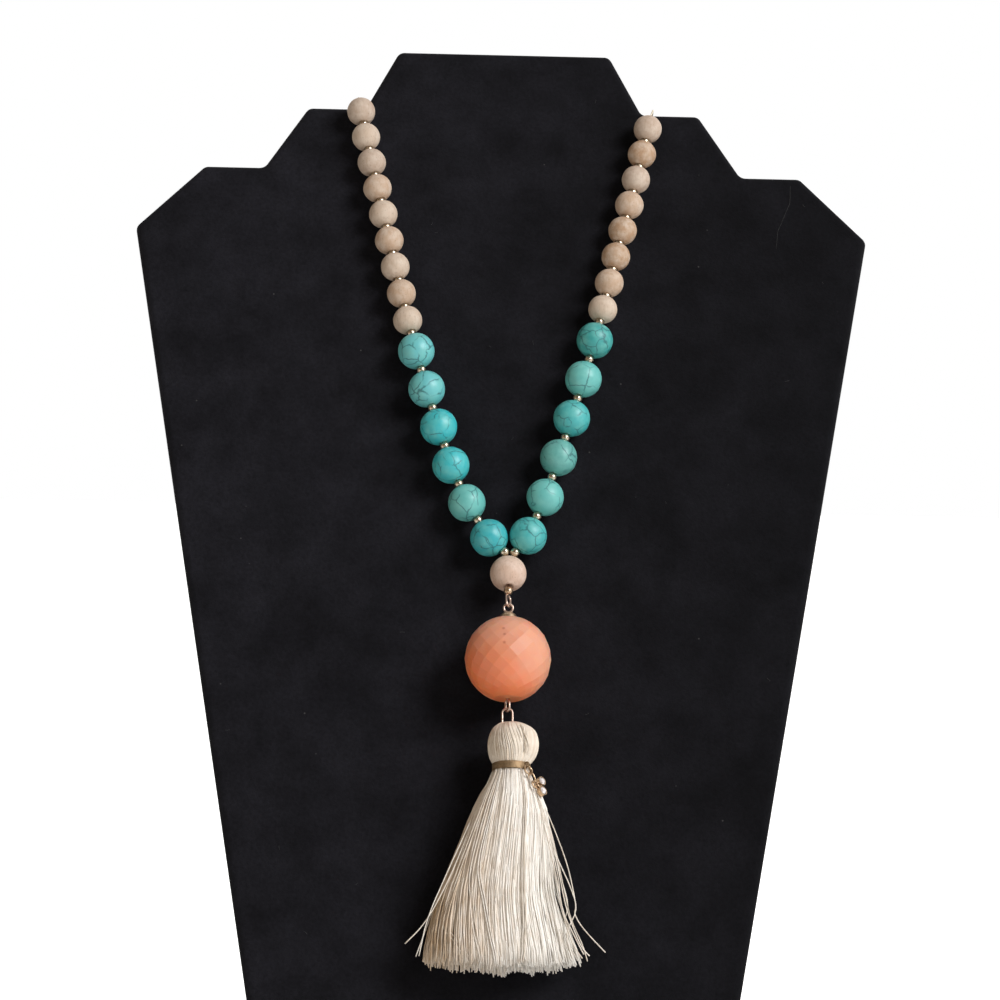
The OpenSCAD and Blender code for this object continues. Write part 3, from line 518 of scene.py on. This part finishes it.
class NECKLACE_OT_board(bpy.types.Operator):
    """Make the padded velvet board and its easel leg"""
    bl_idname = "necklace.board"
    bl_label = "Display board"

    def execute(self, context):
        sizes = context.scene.necklace_board
        velvet = cotton_velvet(sizes.nap)
        rounded_panel("velvet_board", "display_board", sizes.edge_round, velvet)
        rounded_panel("velvet_leg", "easel_leg", sizes.leg_round, velvet)
        return {"FINISHED"}


# Where lint lies on the velvet, how long it is, and one stray hair, across and up the board in millimetres
LINT_SEED = 11
LINT_SPANS = 4
LINT_ACROSS = (-95, 95)
LINT_UP = (8, 305)
LINT_LENGTH = (0.4, 1.4)
HAIR = ((81.6, 276.5), (81.3, 271), (79.3, 266.2), (77.5, 261.8), (77, 256.6))


class NECKLACE_OT_lint(bpy.types.Operator):
    """Lay short fibres and one hair on the velvet"""
    bl_idname = "necklace.lint"
    bl_label = "Lint"

    def execute(self, context):
        sizes = context.scene.necklace_board
        draw = random.Random(LINT_SEED)
        solid = BVHTree.FromBMesh(welded_copy("display_board"))
        # Fibres lie pressed a little into the pile
        lift = sizes.hair_d * 0.4
        lines = []
        while len(lines) < sizes.lint_count:
            across, up = draw.uniform(*LINT_ACROSS), draw.uniform(*LINT_UP)
            length = draw.uniform(*LINT_LENGTH)
            turn, bend = draw.uniform(0, math.tau), draw.uniform(-1.2, 1.2)
            line = []
            for i in range(LINT_SPANS + 1):
                line.append(on_board(across * MM, up * MM, lift))
                across += length / LINT_SPANS * math.cos(turn)
                up += length / LINT_SPANS * math.sin(turn)
                turn += bend / (LINT_SPANS - 1)
            if all(solid.ray_cast(p + OUT * MM, -OUT)[0] is not None for p in (line[0], line[-1])):
                lines.append(line)
        hair = [on_board(x * MM, v * MM, lift) for x, v in HAIR]
        lines.append(hair[:1] + [a.lerp(b, i / 3) for a, b in zip(hair, hair[1:]) for i in (1, 2, 3)])
        cotton, add = new_material("lint_cotton")
        shaded(cotton, {"Roughness": 0.9}, {"Base Color": blotched(add, 0.8, "#2a2a2b", "#545352", 2)})
        add_piece("velvet_lint", tube_mesh("velvet_lint", lines, sizes.hair_d), cotton, "root", "velvet")
        return {"FINISHED"}


# Tints of the turquoise and the wood, from the joint bead upward
STONE_TINTS = {"sky": "#2fabb2", "azure": "#34b7bd", "sea": "#43adad", "deep": "#3a9e9a", "pale": "#66b8b2",
               "mist": "#68bdbf", "green": "#5fa59e"}
LEFT_STONES = ("sky", "pale", "azure", "azure", "mist", "mist")
RIGHT_STONES = ("sea", "pale", "green", "sea", "pale", "deep")
WOOD_TINTS = {"sand": "#c0a58c", "cream": "#c9b5a0", "tan": "#b29274", "ash": "#bca794"}
LEFT_WOODS = ("cream", "sand", "cream", "sand", "cream", "sand", "ash", "cream", "ash")
RIGHT_WOODS = ("cream", "sand", "tan", "tan", "sand", "ash", "tan", "ash")

# Share of a bead's radius where its drilled mouths end and its outside begins, and the share of its
# unevenness by which it shrinks, to stay within its solid
BEAD_OUTSIDE = (0.93, 0.985)
BEAD_SHRINK = 0.6


def round_bead(node, material, slot, tint, unevenness, seed):
    """Make a bead slightly uneven outside, with its drilled mouths as they are."""
    mesh = welded_copy(node)
    centre, size = middle_and_size(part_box(node))
    radius = max(size) / 2
    offset = Vector((seed * 3.7, seed * 1.9, seed * 5.3))
    for vert in mesh.verts:
        arm = vert.co - centre
        outside = blend_step(*BEAD_OUTSIDE, arm.length / radius)
        swell = noise.noise(arm / radius * 1.4 + offset) + 0.4 * noise.noise(arm / radius * 3.6 + offset)
        vert.co += arm.normalized() * (swell - BEAD_SHRINK) * unevenness * outside
    piece = add_piece(node + "_bead", mesh, material, "root", slot, node)
    piece.color = linear(tint)


class NECKLACE_OT_beads(bpy.types.Operator):
    """Make the turquoise, wood and joint beads"""
    bl_idname = "necklace.beads"
    bl_label = "Beads"

    def execute(self, context):
        sizes = context.scene.necklace_beads
        turquoise = polished_turquoise(sizes.vein)
        wood = sanded_wood("hardwood_turned_washed", linear("#d9cdbd"))
        rosy = sanded_wood("hardwood_rosy_turned", linear("#e4d2c5"))
        seed = 1
        for side, stones, woods in (("left", LEFT_STONES, LEFT_WOODS), ("right", RIGHT_STONES, RIGHT_WOODS)):
            for kind, material, slot, tints, names, lump in (
                    ("stone", turquoise, "turquoise", STONE_TINTS, stones, sizes.stone_lump),
                    ("wood", wood, "wood", WOOD_TINTS, woods, sizes.wood_lump)):
                for i, tint in enumerate(names):
                    round_bead(f"{kind}_{side}_{i + 1}", material, slot, tints[tint], lump, seed)
                    seed += 1
        round_bead("joint_bead", rosy, "joint_wood", "#d2b6a1", sizes.wood_lump, seed)
        return {"FINISHED"}


class NECKLACE_OT_findings(bpy.types.Operator):
    """Finish the spacers, wires, chain, clasp, loops, band and charm rings"""
    bl_idname = "necklace.findings"
    bl_label = "Metal findings"

    def execute(self, context):
        plated = worn_metal("brass_gold_plated_tumbled", "#e9dcc4", "#98856a", 0.24)
        rose = worn_metal("copper_wire_rose_drawn", "#dcc4b4", "#a08474", 0.28)
        soft_gold = worn_metal("brass_rose_gold_plated", "#dcc0a0", "#a38462", 0.3)
        antique = worn_metal("brass_antique_brushed", "#a38b6c", "#6d5940", 0.6, grain=1.1)
        dress(beading_thread(), "wire_left", "wire_right")
        dress(plated, "spacers_left", "spacers_right", "crimp_left", "crimp_right", "chain_left",
              "chain_right", "clasp")
        dress(rose, "hanging_loop", "drop_pin", "tassel_ring")
        dress(soft_gold, "end_bead", "drop_cap", "charm_ring_1", "charm_link", "charm_ring_2", "charm_cup_1",
              "charm_cup_2")
        dress(antique, "tassel_band")
        return {"FINISHED"}


class NECKLACE_OT_focal_bead(bpy.types.Operator):
    """Make the large faceted bead with softly rounded facet edges"""
    bl_idname = "necklace.focal_bead"
    bl_label = "Large bead"

    def execute(self, context):
        sizes = context.scene.necklace_beads
        agate = faceted_agate(sizes.peach, sizes.ember)
        mesh = flat_faced_copy("focal_bead", 0.8)
        piece = add_piece("peach_bead", mesh, agate, "drop", "peach_stone", "focal_bead")
        soft = piece.modifiers.new("soft edges", "BEVEL")
        soft.width = sizes.facet_round
        soft.segments = 3
        soft.limit_method = "ANGLE"
        soft.angle_limit = math.radians(4)
        piece.modifiers.new("flat facets", "WEIGHTED_NORMAL")
        return {"FINISHED"}


# Tassel: the envelope is the solid's own outside, measured level by level by rays from far out, up to a
# little from its ends. Only points in the lowest RIM_DEPTH and beyond RIM_SPREAD of the radius are the
# hem's outer edge.
RAY = 100 * MM
AZIMUTHS = 96
HEAD_LEVELS = 16
HEAD_INSET = 0.15 * MM
SKIRT_LEVELS = 34
SKIRT_INSET = 0.1 * MM
SMOOTH_REACH = 2
RIM_DEPTH = 6 * MM
RIM_SPREAD = 0.84
HEM_WINDOW = math.radians(13)
HEM_ENDS = 1.6 * MM


def read_envelope():
    """Measure the tassel's solid: at each level its middle, and its radius all round."""
    mesh = welded_copy("tassel")
    for vert in mesh.verts:
        across, up, lift = from_board(vert.co)
        vert.co = Vector((across, lift, up))
    mesh.normal_update()
    tree = BVHTree.FromBMesh(mesh)
    points = [vert.co.copy() for vert in mesh.verts]
    mesh.free()
    top = max(p.z for p in points)
    bottom = min(p.z for p in points)
    neck = from_board(middle_and_size(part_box("tassel_band"))[0])[1]

    def hit(middle, turn, level):
        way = Vector((math.cos(turn), math.sin(turn), 0))
        start = Vector((middle[0], middle[1], level)) + way * RAY
        found = tree.ray_cast(start, -way, RAY)[3]
        return RAY - found if found else 0

    def measure(end, count):
        rows = []
        middle = (sum(p.x for p in points) / len(points), sum(p.y for p in points) / len(points))
        for i in range(count):
            level = neck + (end - neck) * i / (count - 1)
            right, front, left, back = (hit(middle, math.tau * k / 4, level) for k in range(4))
            if min(right, front, left, back) > 0:
                middle = (middle[0] + (right - left) / 2, middle[1] + (front - back) / 2)
            radii = [hit(middle, math.tau * k / AZIMUTHS, level) for k in range(AZIMUTHS)]
            rows.append((level, middle, radii))
        return filled_rows(rows)

    head = measure(top - HEAD_INSET, HEAD_LEVELS)
    skirt = measure(bottom + SKIRT_INSET, SKIRT_LEVELS)
    return head, skirt, [p for p in points if p.z < bottom + RIM_DEPTH]


def filled_rows(rows):
    """Carry each azimuth's last radius on below its own hem, and even the locks' grooves out."""
    filled = []
    # A miss on the first level counts as 4 mm
    before = [4 * MM] * AZIMUTHS
    near = range(-SMOOTH_REACH, SMOOTH_REACH + 1)
    for level, middle, radii in rows:
        before = [radius or last * 1.01 for radius, last in zip(radii, before)]
        even = [sum(before[(k + n) % AZIMUTHS] for n in near) / len(near) for k in range(AZIMUTHS)]
        filled.append((level, middle, even))
    return filled


def hem_levels(skirt, rims):
    """Give the level of the hem's outer edge at each azimuth."""
    _, middle, reach = skirt[-1]
    edge = []
    for p in rims:
        across, lift = p.x - middle[0], p.y - middle[1]
        turn = math.atan2(lift, across)
        if math.hypot(lift, across) > RIM_SPREAD * reach[round(turn / math.tau * AZIMUTHS) % AZIMUTHS]:
            edge.append((turn, p.z))
    levels = []
    for k in range(AZIMUTHS):
        near = [z for turn, z in edge
                if abs(math.remainder(turn - math.tau * k / AZIMUTHS, math.tau)) < HEM_WINDOW]
        ends = [z for z in near if z < min(near) + HEM_ENDS]
        levels.append(sum(ends) / len(ends))
    return levels


def envelope_point(rows, turn, share, radial):
    """Give the board place at a share down the rows, at an azimuth and a share of the radius."""
    place = min(max(share, 0), 1) * (len(rows) - 1)
    i = min(int(place), len(rows) - 2)
    t = place - i
    spot = (turn % math.tau) / math.tau * AZIMUTHS
    k = int(spot) % AZIMUTHS
    u = spot - int(spot)
    upper, lower = ((level, *middle, radii[k] * (1 - u) + radii[(k + 1) % AZIMUTHS] * u)
                    for level, middle, radii in rows[i:i + 2])
    up, across, lift, radius = (a * (1 - t) + b * t for a, b in zip(upper, lower))
    return across + radius * radial * math.cos(turn), up, lift + radius * radial * math.sin(turn)


def lofted(rings):
    """Join rings of points into a closed skin."""
    mesh = bmesh.new()
    rows = [[mesh.verts.new(p) for p in ring] for ring in rings]
    count = len(rows[0])
    for upper, lower in zip(rows, rows[1:]):
        for k in range(count):
            after = (k + 1) % count
            mesh.faces.new((upper[k], lower[k], lower[after], upper[after]))
    mesh.faces.new(rows[0])
    mesh.faces.new(rows[-1][::-1])
    bmesh.ops.recalc_face_normals(mesh, faces=mesh.faces)
    return mesh


# Threads: points along each, depths as shares of the radius, and the number of loose bunches that the
# skirt's threads draw together in
THREAD_SEED = 29
HEAD_POINTS = 13
OUTER_POINTS = 15
INNER_POINTS = 11
OUTER_DEPTHS = (0.95, 1.0)
INNER_DEPTHS = (0.6, 0.95)
BUNCHES = 150
# The head's parting, in degrees round it and as a share of its radius: where it starts at the top and how
# far it leans on its way down, its half width and depth, and how far which threads sweep over to it
PARTING_TOP = 73
PARTING_LEAN = 16
PARTING_WIDTH = 9
PARTING_DEPTH = 0.16
SWEEP = 22
SWEEP_FROM = (64, 72)
SWEEP_TO = (100, 150)
# The core's rings, how far down it runs, and how far the skirt's sides draw in at the right and fan out
CORE_RINGS = 17
CORE_END = 0.94
SIDE_GAP = 0.07
SIDE_FAN = 0.07


class NECKLACE_OT_tassel(bpy.types.Operator):
    """Lay the silk threads of the tassel's head and skirt over its bound core"""
    bl_idname = "necklace.tassel"
    bl_label = "Tassel"

    def execute(self, context):
        sizes = context.scene.necklace_tassel
        silk = silk_thread("silk_thread_twisted", sizes.silk_light, sizes.silk_dark, shaded_left=True)
        loose_silk = silk_thread("silk_thread_loose", sizes.silk_light, sizes.silk_dark)
        # The head's threads take the darker pale silk, as painted shade
        head_shaded_silk = silk_thread("silk_thread_head_shaded", sizes.silk_head_shaded, sizes.silk_dark)
        head, skirt, rims = read_envelope()
        hems = hem_levels(skirt, rims)
        self.make_core(sizes, head, skirt)
        draw = random.Random(THREAD_SEED)
        width = sizes.thread_d
        head_lines = self.head_lines(draw, sizes.head_threads, head)
        outer = self.skirt_lines(draw, sizes.skirt_threads, skirt, hems, OUTER_DEPTHS, OUTER_POINTS)
        inner = self.skirt_lines(draw, sizes.inner_threads, skirt, hems, INNER_DEPTHS, INNER_POINTS)
        strays = self.stray_lines(skirt)
        for part, lines, thickness, material, *nodes in (
                ("head", head_lines, width, head_shaded_silk), ("skirt", outer, width, silk, "tassel"),
                ("inner", inner, width, silk), ("stray", strays, width * 0.9, loose_silk)):
            name = f"tassel_{part}_threads"
            add_piece(name, tube_mesh(name, lines, thickness), material, "tassel", "silk", *nodes)
        return {"FINISHED"}

    def make_core(self, sizes, head, skirt):
        """Make the bound core that shows between the threads."""
        rings = []
        turns = [math.tau * k / AZIMUTHS for k in range(AZIMUTHS)]
        for share in (1.0, 0.96, 0.9, 0.8, 0.65, 0.5, 0.35, 0.2, 0.08):
            radial = 0.93 if share < 0.95 else 0.6
            rings.append([on_board(*envelope_point(head, turn, share, radial)) for turn in turns])
        for step in range(1, CORE_RINGS + 1):
            share = step / CORE_RINGS * CORE_END
            thin = 0.86 - 0.06 * share
            rings.append([on_board(*envelope_point(skirt, turn, share, thin - self.side_gap(turn, share)))
                          for turn in turns])
        # The core's silk is darkened as painted shade between the threads
        silk = silk_core(sizes.silk_light, sizes.silk_dark)
        add_piece("tassel_core", lofted(rings), silk, "tassel", "silk")

    def head_lines(self, draw, count, head):
        """Run threads from under the ring over the head and down into the band."""
        lines = []
        for i in range(count):
            start = math.tau * (i + draw.uniform(-0.4, 0.4)) / count
            degrees = math.degrees(start)
            # The front threads left of the parting sweep over to it, above a layer that runs straight down
            under = draw.random() < 0.4
            sweep = 0 if under else blend_step(*SWEEP_FROM, degrees) * (1 - blend_step(*SWEEP_TO, degrees))
            depth = draw.uniform(0.95, 0.975) if under else draw.uniform(0.975, 1.0)
            sway = draw.uniform(-2.5, 2.5)
            line = []
            for j in range(HEAD_POINTS):
                t = j / (HEAD_POINTS - 1)
                share = 1 - t ** 1.35
                bow = math.sin(math.pi * t)
                turn = start - math.radians(SWEEP * sweep * blend_step(0.1, 0.95, t) + sway * bow)
                away = abs(math.degrees(turn) - (PARTING_TOP - PARTING_LEAN * t))
                ends = blend_step(0.02, 0.25, t) * (1 - blend_step(0.7, 0.95, t))
                crease = (1 - blend_step(0, PARTING_WIDTH, away)) * ends
                radial = depth - PARTING_DEPTH * crease + 0.04 * sweep * bow
                line.append(on_board(*envelope_point(head, turn, share, radial)))
            lines.append(line)
        return lines

    def side_gap(self, turn, share):
        """Give how far the mass of threads stands inside the outline, which is most at the right."""
        return SIDE_GAP * max(math.cos(turn), 0) ** 2 * blend_step(0.2, 0.7, share)

    def skirt_lines(self, draw, count, skirt, hems, depths, steps):
        """Let threads fall from the band to an uneven hem, drawn together in loose bunches."""
        half = bpy.context.scene.necklace_tassel.thread_d / 2
        bunches = [math.tau * (b + draw.uniform(-0.5, 0.5)) / BUNCHES for b in range(BUNCHES)]
        bunch_drop = [draw.gauss(0, 0.3) * MM for _ in bunches]
        bunch_depth = [draw.uniform(-0.03, 0) for _ in bunches]
        span = skirt[0][0] - skirt[-1][0]
        lines = []
        for i in range(count):
            start = math.tau * (i + draw.uniform(-0.5, 0.5)) / count
            near = min(range(BUNCHES), key=lambda b: abs(math.remainder(start - bunches[b], math.tau)))
            pull = draw.uniform(0.2, 0.85)
            crossing = draw.gauss(0, 0.17) if draw.random() < 0.2 else draw.gauss(0, 0.04)
            target = start + math.remainder(bunches[near] - start, math.tau) * pull + crossing
            level = hems[int(target % math.tau / math.tau * AZIMUTHS) % AZIMUTHS]
            drop = draw.gauss(-0.3, 0.3) * MM + bunch_drop[near]
            if draw.random() < 0.08:
                drop -= draw.uniform(0.6, 2.4) * MM
            depth = draw.uniform(*depths) + bunch_depth[near]
            # A few threads at the right stand clear of the mass, and the left side fans out
            free = draw.random() < 0.06
            fan = SIDE_FAN * max(-math.cos(target), 0) ** 2
            phase = draw.uniform(0, math.tau)
            waves = draw.uniform(0.7, 2.0)
            reach = draw.uniform(0.1, 0.4) * MM
            weave = draw.uniform(0.005, 0.02)
            line = []
            total = skirt[0][0] - (level - drop)
            for j in range(steps):
                t = j / (steps - 1)
                share = t * total / span
                turn = start + (target - start) * t ** 1.3
                gap = 0 if free else self.side_gap(target, t)
                radial = depth - gap + fan * blend_step(0.3, 1.0, t)
                radial += weave * math.sin(2 * phase + (waves + 1) * math.tau * t) * blend_step(0, 0.2, t)
                across, up, lift = envelope_point(skirt, turn, share, radial)
                if share > 1:
                    up -= (share - 1) * span
                sway = reach * math.sin(phase + waves * math.tau * t) * t
                across -= sway * math.sin(turn) + half * math.cos(turn)
                lift += sway * math.cos(turn) * 0.5 - half * math.sin(turn)
                line.append(on_board(across, up, lift))
            lines.append(line)
        return lines

    def stray_lines(self, skirt):
        """Run the single threads that hang clear of the skirt, and the ones that cross over its front."""
        neck = skirt[0][0] / MM
        lines = [[on_board(p.x * MM, min(p.y, neck) * MM, p.z * MM) for p in smooth_line(places)]
                 for places in STRAYS]
        for places in CROSSING:
            # Each is a pair of threads side by side, just outside the others
            for aside in (0, 3.4):
                lines.append([on_board(*envelope_point(skirt, math.radians(p.x + aside), p.y, 1.003))
                              for p in smooth_line([(*place, 0) for place in places])])
        return lines


def smooth_line(places):
    """Give the points of an even curve through a few places, four to each span."""
    points = [Vector(place) for place in places]
    fine = []
    for i in range(len(points) - 1):
        a, b, c, d = (points[min(max(i + n, 0), len(points) - 1)] for n in (-1, 0, 1, 2))
        for k in range(4):
            t = k / 4
            fine.append(0.5 * (2 * b + (c - a) * t + (2 * a - 5 * b + 4 * c - d) * t ** 2
                               + (3 * b - a - 3 * c + d) * t ** 3))
    return fine + [points[-1]]


# Threads that cross the skirt's front: degrees round it (90 is the front, more is left) and share down it
CROSSING = (
    ((122, 0), (128, 0.25), (131, 0.5), (118, 0.68), (110, 0.86), (104, 0.99)),
    ((130, 0), (137, 0.25), (140, 0.52), (135, 0.68), (131, 0.83), (124, 0.99)),
    ((140, 0), (152, 0.4), (160, 0.76), (150, 0.88), (138, 0.98)),
    ((58, 0), (54, 0.4), (50, 0.7), (58, 0.9), (62, 0.98)),
)

# Threads that hang clear of the skirt: places across, up and out from the board, in millimetres
STRAYS = (
    ((-0.6, 104, 12), (-6, 90, 13.5), (-11.5, 76, 13.8), (-17, 65.5, 13), (-22.1, 59.8, 12.5)),
    ((-0.8, 104, 10), (-5.8, 92, 9.4), (-11.4, 79, 9), (-15.8, 67.5, 9), (-19.4, 57.2, 9.4)),
    ((-0.8, 104, 12), (-6.2, 91, 13), (-12.2, 77, 13.4), (-16.6, 66, 13.2), (-18.6, 56.8, 13)),
    ((7.4, 104, 12), (9.8, 98, 12.6), (12.4, 93, 13), (17.2, 80.4, 13.6), (19.5, 70.3, 13.4),
     (19.4, 67.6, 13), (21.6, 64, 12.6), (26.9, 58.4, 12.4)),
    ((7.5, 104, 11), (12.1, 93, 11.4), (14.7, 83.6, 11.6), (17, 73, 11.4), (18.6, 66.6, 11.2),
     (21.3, 60.5, 11), (22.6, 56.4, 11)),
    ((7.4, 104, 14), (11.4, 93, 15), (14, 84, 15.6), (15.6, 76, 15.4), (17.4, 68, 15), (20.6, 60, 14.6),
     (22.9, 57.2, 14.4)),
    ((7.2, 104, 13), (11.2, 93, 14), (14.6, 82, 14.6), (18.2, 74, 14.2), (19.6, 68.5, 13.8),
     (17.4, 62.5, 13.6), (19, 56.2, 13.6)),
    ((7, 104, 15), (10.6, 93, 16.4), (13.2, 82, 17), (15, 74, 17), (16.6, 66, 16.8), (18.6, 60, 16.6),
     (21, 56.3, 16.4)),
    ((7, 104, 10), (11, 93, 10.4), (14.4, 83, 10.6), (16.4, 76, 10.4), (17.8, 70, 10.4), (16.8, 64, 10.4),
     (20.2, 56.6, 10.4)),
    ((7, 104, 12), (10.8, 93, 12.4), (13.6, 84, 12.6), (15.4, 76, 12.6), (16.2, 69, 12.8), (19.4, 62, 12.8),
     (21.6, 57.8, 12.8)),
)


class NECKLACE_OT_rhinestones(bpy.types.Operator):
    """Give the two crystals of the charm their cut glass"""
    bl_idname = "necklace.rhinestones"
    bl_label = "Crystals"

    def execute(self, context):
        crystal = cut_crystal()
        for number in (1, 2):
            node = f"rhinestone_{number}"
            add_piece(node + "_cut", flat_faced_copy(node), crystal, "tassel", "crystal", node, smooth=False)
        return {"FINISHED"}


def add_light(name, place, size, power, colour):
    """Add a square soft light that faces the necklace."""
    data = bpy.data.lights.new(name, "AREA")
    data.size = size
    data.energy = power
    data.color = linear(colour)[:3]
    light = bpy.data.objects.new(name, data)
    light.location = place
    light.rotation_euler = (Vector(NECKLACE_MIDDLE) - Vector(place)).to_track_quat("-Z", "Y").to_euler()
    bpy.context.scene.collection.objects.link(light)


# Reach of the paper, and the places and widths of the lights and what they face, in metres
FLOOR_REACH = 40.0
NECKLACE_MIDDLE = (0, -0.03, 0.15)
KEY_PLACE = (0.75, -0.72, 0.85)
KEY_WIDTH = 0.5
FILL_PLACE = (-0.9, -0.6, 0.35)
FILL_WIDTH = 0.7
# The room's light in linear values, as its white is more than a hex value can say, and where it is brightest
ROOM_WHITE = (1.05, 1.05, 1.05, 1)
ROOM_DIM = (0.112, 0.09, 0.064, 1)
ROOM_BACK = (0.25, 0.95, 0.1)


class NECKLACE_OT_stage(bpy.types.Operator):
    """Make the paper floor, the soft lights and the camera"""
    bl_idname = "necklace.stage"
    bl_label = "Studio"

    def execute(self, context):
        sizes = context.scene.necklace_studio
        scene = context.scene
        self.make_floor()
        self.make_world(scene)
        add_light("key_softbox", KEY_PLACE, KEY_WIDTH, sizes.key_power, "#fdfcff")
        add_light("fill_card", FILL_PLACE, FILL_WIDTH, sizes.fill_power, "#ffd0a0")
        self.make_camera(sizes, scene)
        scene.view_settings.view_transform = "Standard"
        return {"FINISHED"}

    def make_floor(self):
        """Lay a wide sheet of paper under the part."""
        mesh = bmesh.new()
        bmesh.ops.create_circle(mesh, cap_ends=True, segments=64, radius=FLOOR_REACH)
        data = bpy.data.meshes.new("paper_floor")
        mesh.to_mesh(data)
        mesh.free()
        data.materials.append(studio_paper())
        floor = bpy.data.objects.new("paper_floor", data)
        bpy.context.scene.collection.objects.link(floor)

    def make_world(self, scene):
        """Light the room: white behind the board, and dim and warm in front of it and to the left."""
        world = bpy.data.worlds.new("studio_room")
        world.use_nodes = True
        scene.world = world
        world.node_tree.nodes.clear()
        add = partial(add_node, world.node_tree)
        where = add("TexCoord")
        toward = add("VectorMath", {1: ROOM_BACK}, {0: where.outputs["Generated"]}, operation="DOT_PRODUCT")
        share = add("MapRange", {"From Min": -0.35, "From Max": 0.75}, {"Value": toward},
                    interpolation_type="SMOOTHSTEP")
        colour = add("Mix", {"A": ROOM_DIM, "B": ROOM_WHITE}, {"Factor": share}, data_type="RGBA",
                     clamp_result=False)
        # The camera sees plain white paper beyond the floor from any side
        rays = add("LightPath")
        seen = add("Mix", {"B": (1, 1, 1, 1)}, {"Factor": rays.outputs["Is Camera Ray"], "A": colour},
                   data_type="RGBA", clamp_result=False)
        light = add("Background", links={"Color": seen})
        add("OutputWorld", links={"Surface": light})

    def make_camera(self, sizes, scene):
        """Set the camera level, at the photograph's distance, and turn it slightly."""
        data = bpy.data.cameras.new("photo_camera")
        data.lens = sizes.lens
        data.sensor_width = 36
        camera = bpy.data.objects.new("photo_camera", data)
        aim = on_board(sizes.aim_across, sizes.aim_height, 0)
        look = Vector((math.sin(sizes.yaw), math.cos(sizes.yaw), 0))
        camera.matrix_world = (Matrix.Translation(aim - look * sizes.distance)
                               @ look.to_track_quat("-Z", "Y").to_matrix().to_4x4()
                               @ Matrix.Rotation(sizes.roll, 4, "Z"))
        scene.collection.objects.link(camera)
        scene.camera = camera


GROUPS = {"necklace_board": BoardSettings, "necklace_beads": BeadSettings, "necklace_tassel": TasselSettings,
          "necklace_studio": StudioSettings}
OPERATORS = (NECKLACE_OT_stage, NECKLACE_OT_board, NECKLACE_OT_lint, NECKLACE_OT_beads, NECKLACE_OT_findings,
             NECKLACE_OT_focal_bead, NECKLACE_OT_tassel, NECKLACE_OT_rhinestones)


class NECKLACE_PT_panel(bpy.types.Panel):
    """List the settings and the steps that dress the necklace"""
    bl_idname = "NECKLACE_PT_panel"
    bl_label = "Tassel necklace"
    bl_space_type = "VIEW_3D"
    bl_region_type = "UI"
    bl_category = "Necklace"

    def draw(self, context):
        for group in GROUPS:
            box = self.layout.box()
            settings = getattr(context.scene, group)
            for name in settings.__annotations__:
                box.prop(settings, name)
        for step in OPERATORS:
            self.layout.operator(step.bl_idname)


CLASSES = (*GROUPS.values(), *OPERATORS, NECKLACE_PT_panel)


def register():
    for item in CLASSES:
        bpy.utils.register_class(item)
    for name, group in GROUPS.items():
        setattr(bpy.types.Scene, name, bpy.props.PointerProperty(type=group))


def unregister():
    for name in GROUPS:
        delattr(bpy.types.Scene, name)
    for item in reversed(CLASSES):
        bpy.utils.unregister_class(item)


def main():
    """Build each piece in order."""
    register()
    for step in OPERATORS:
        getattr(bpy.ops.necklace, step.bl_idname.removeprefix("necklace."))()


if __name__ == "__main__":
    main()
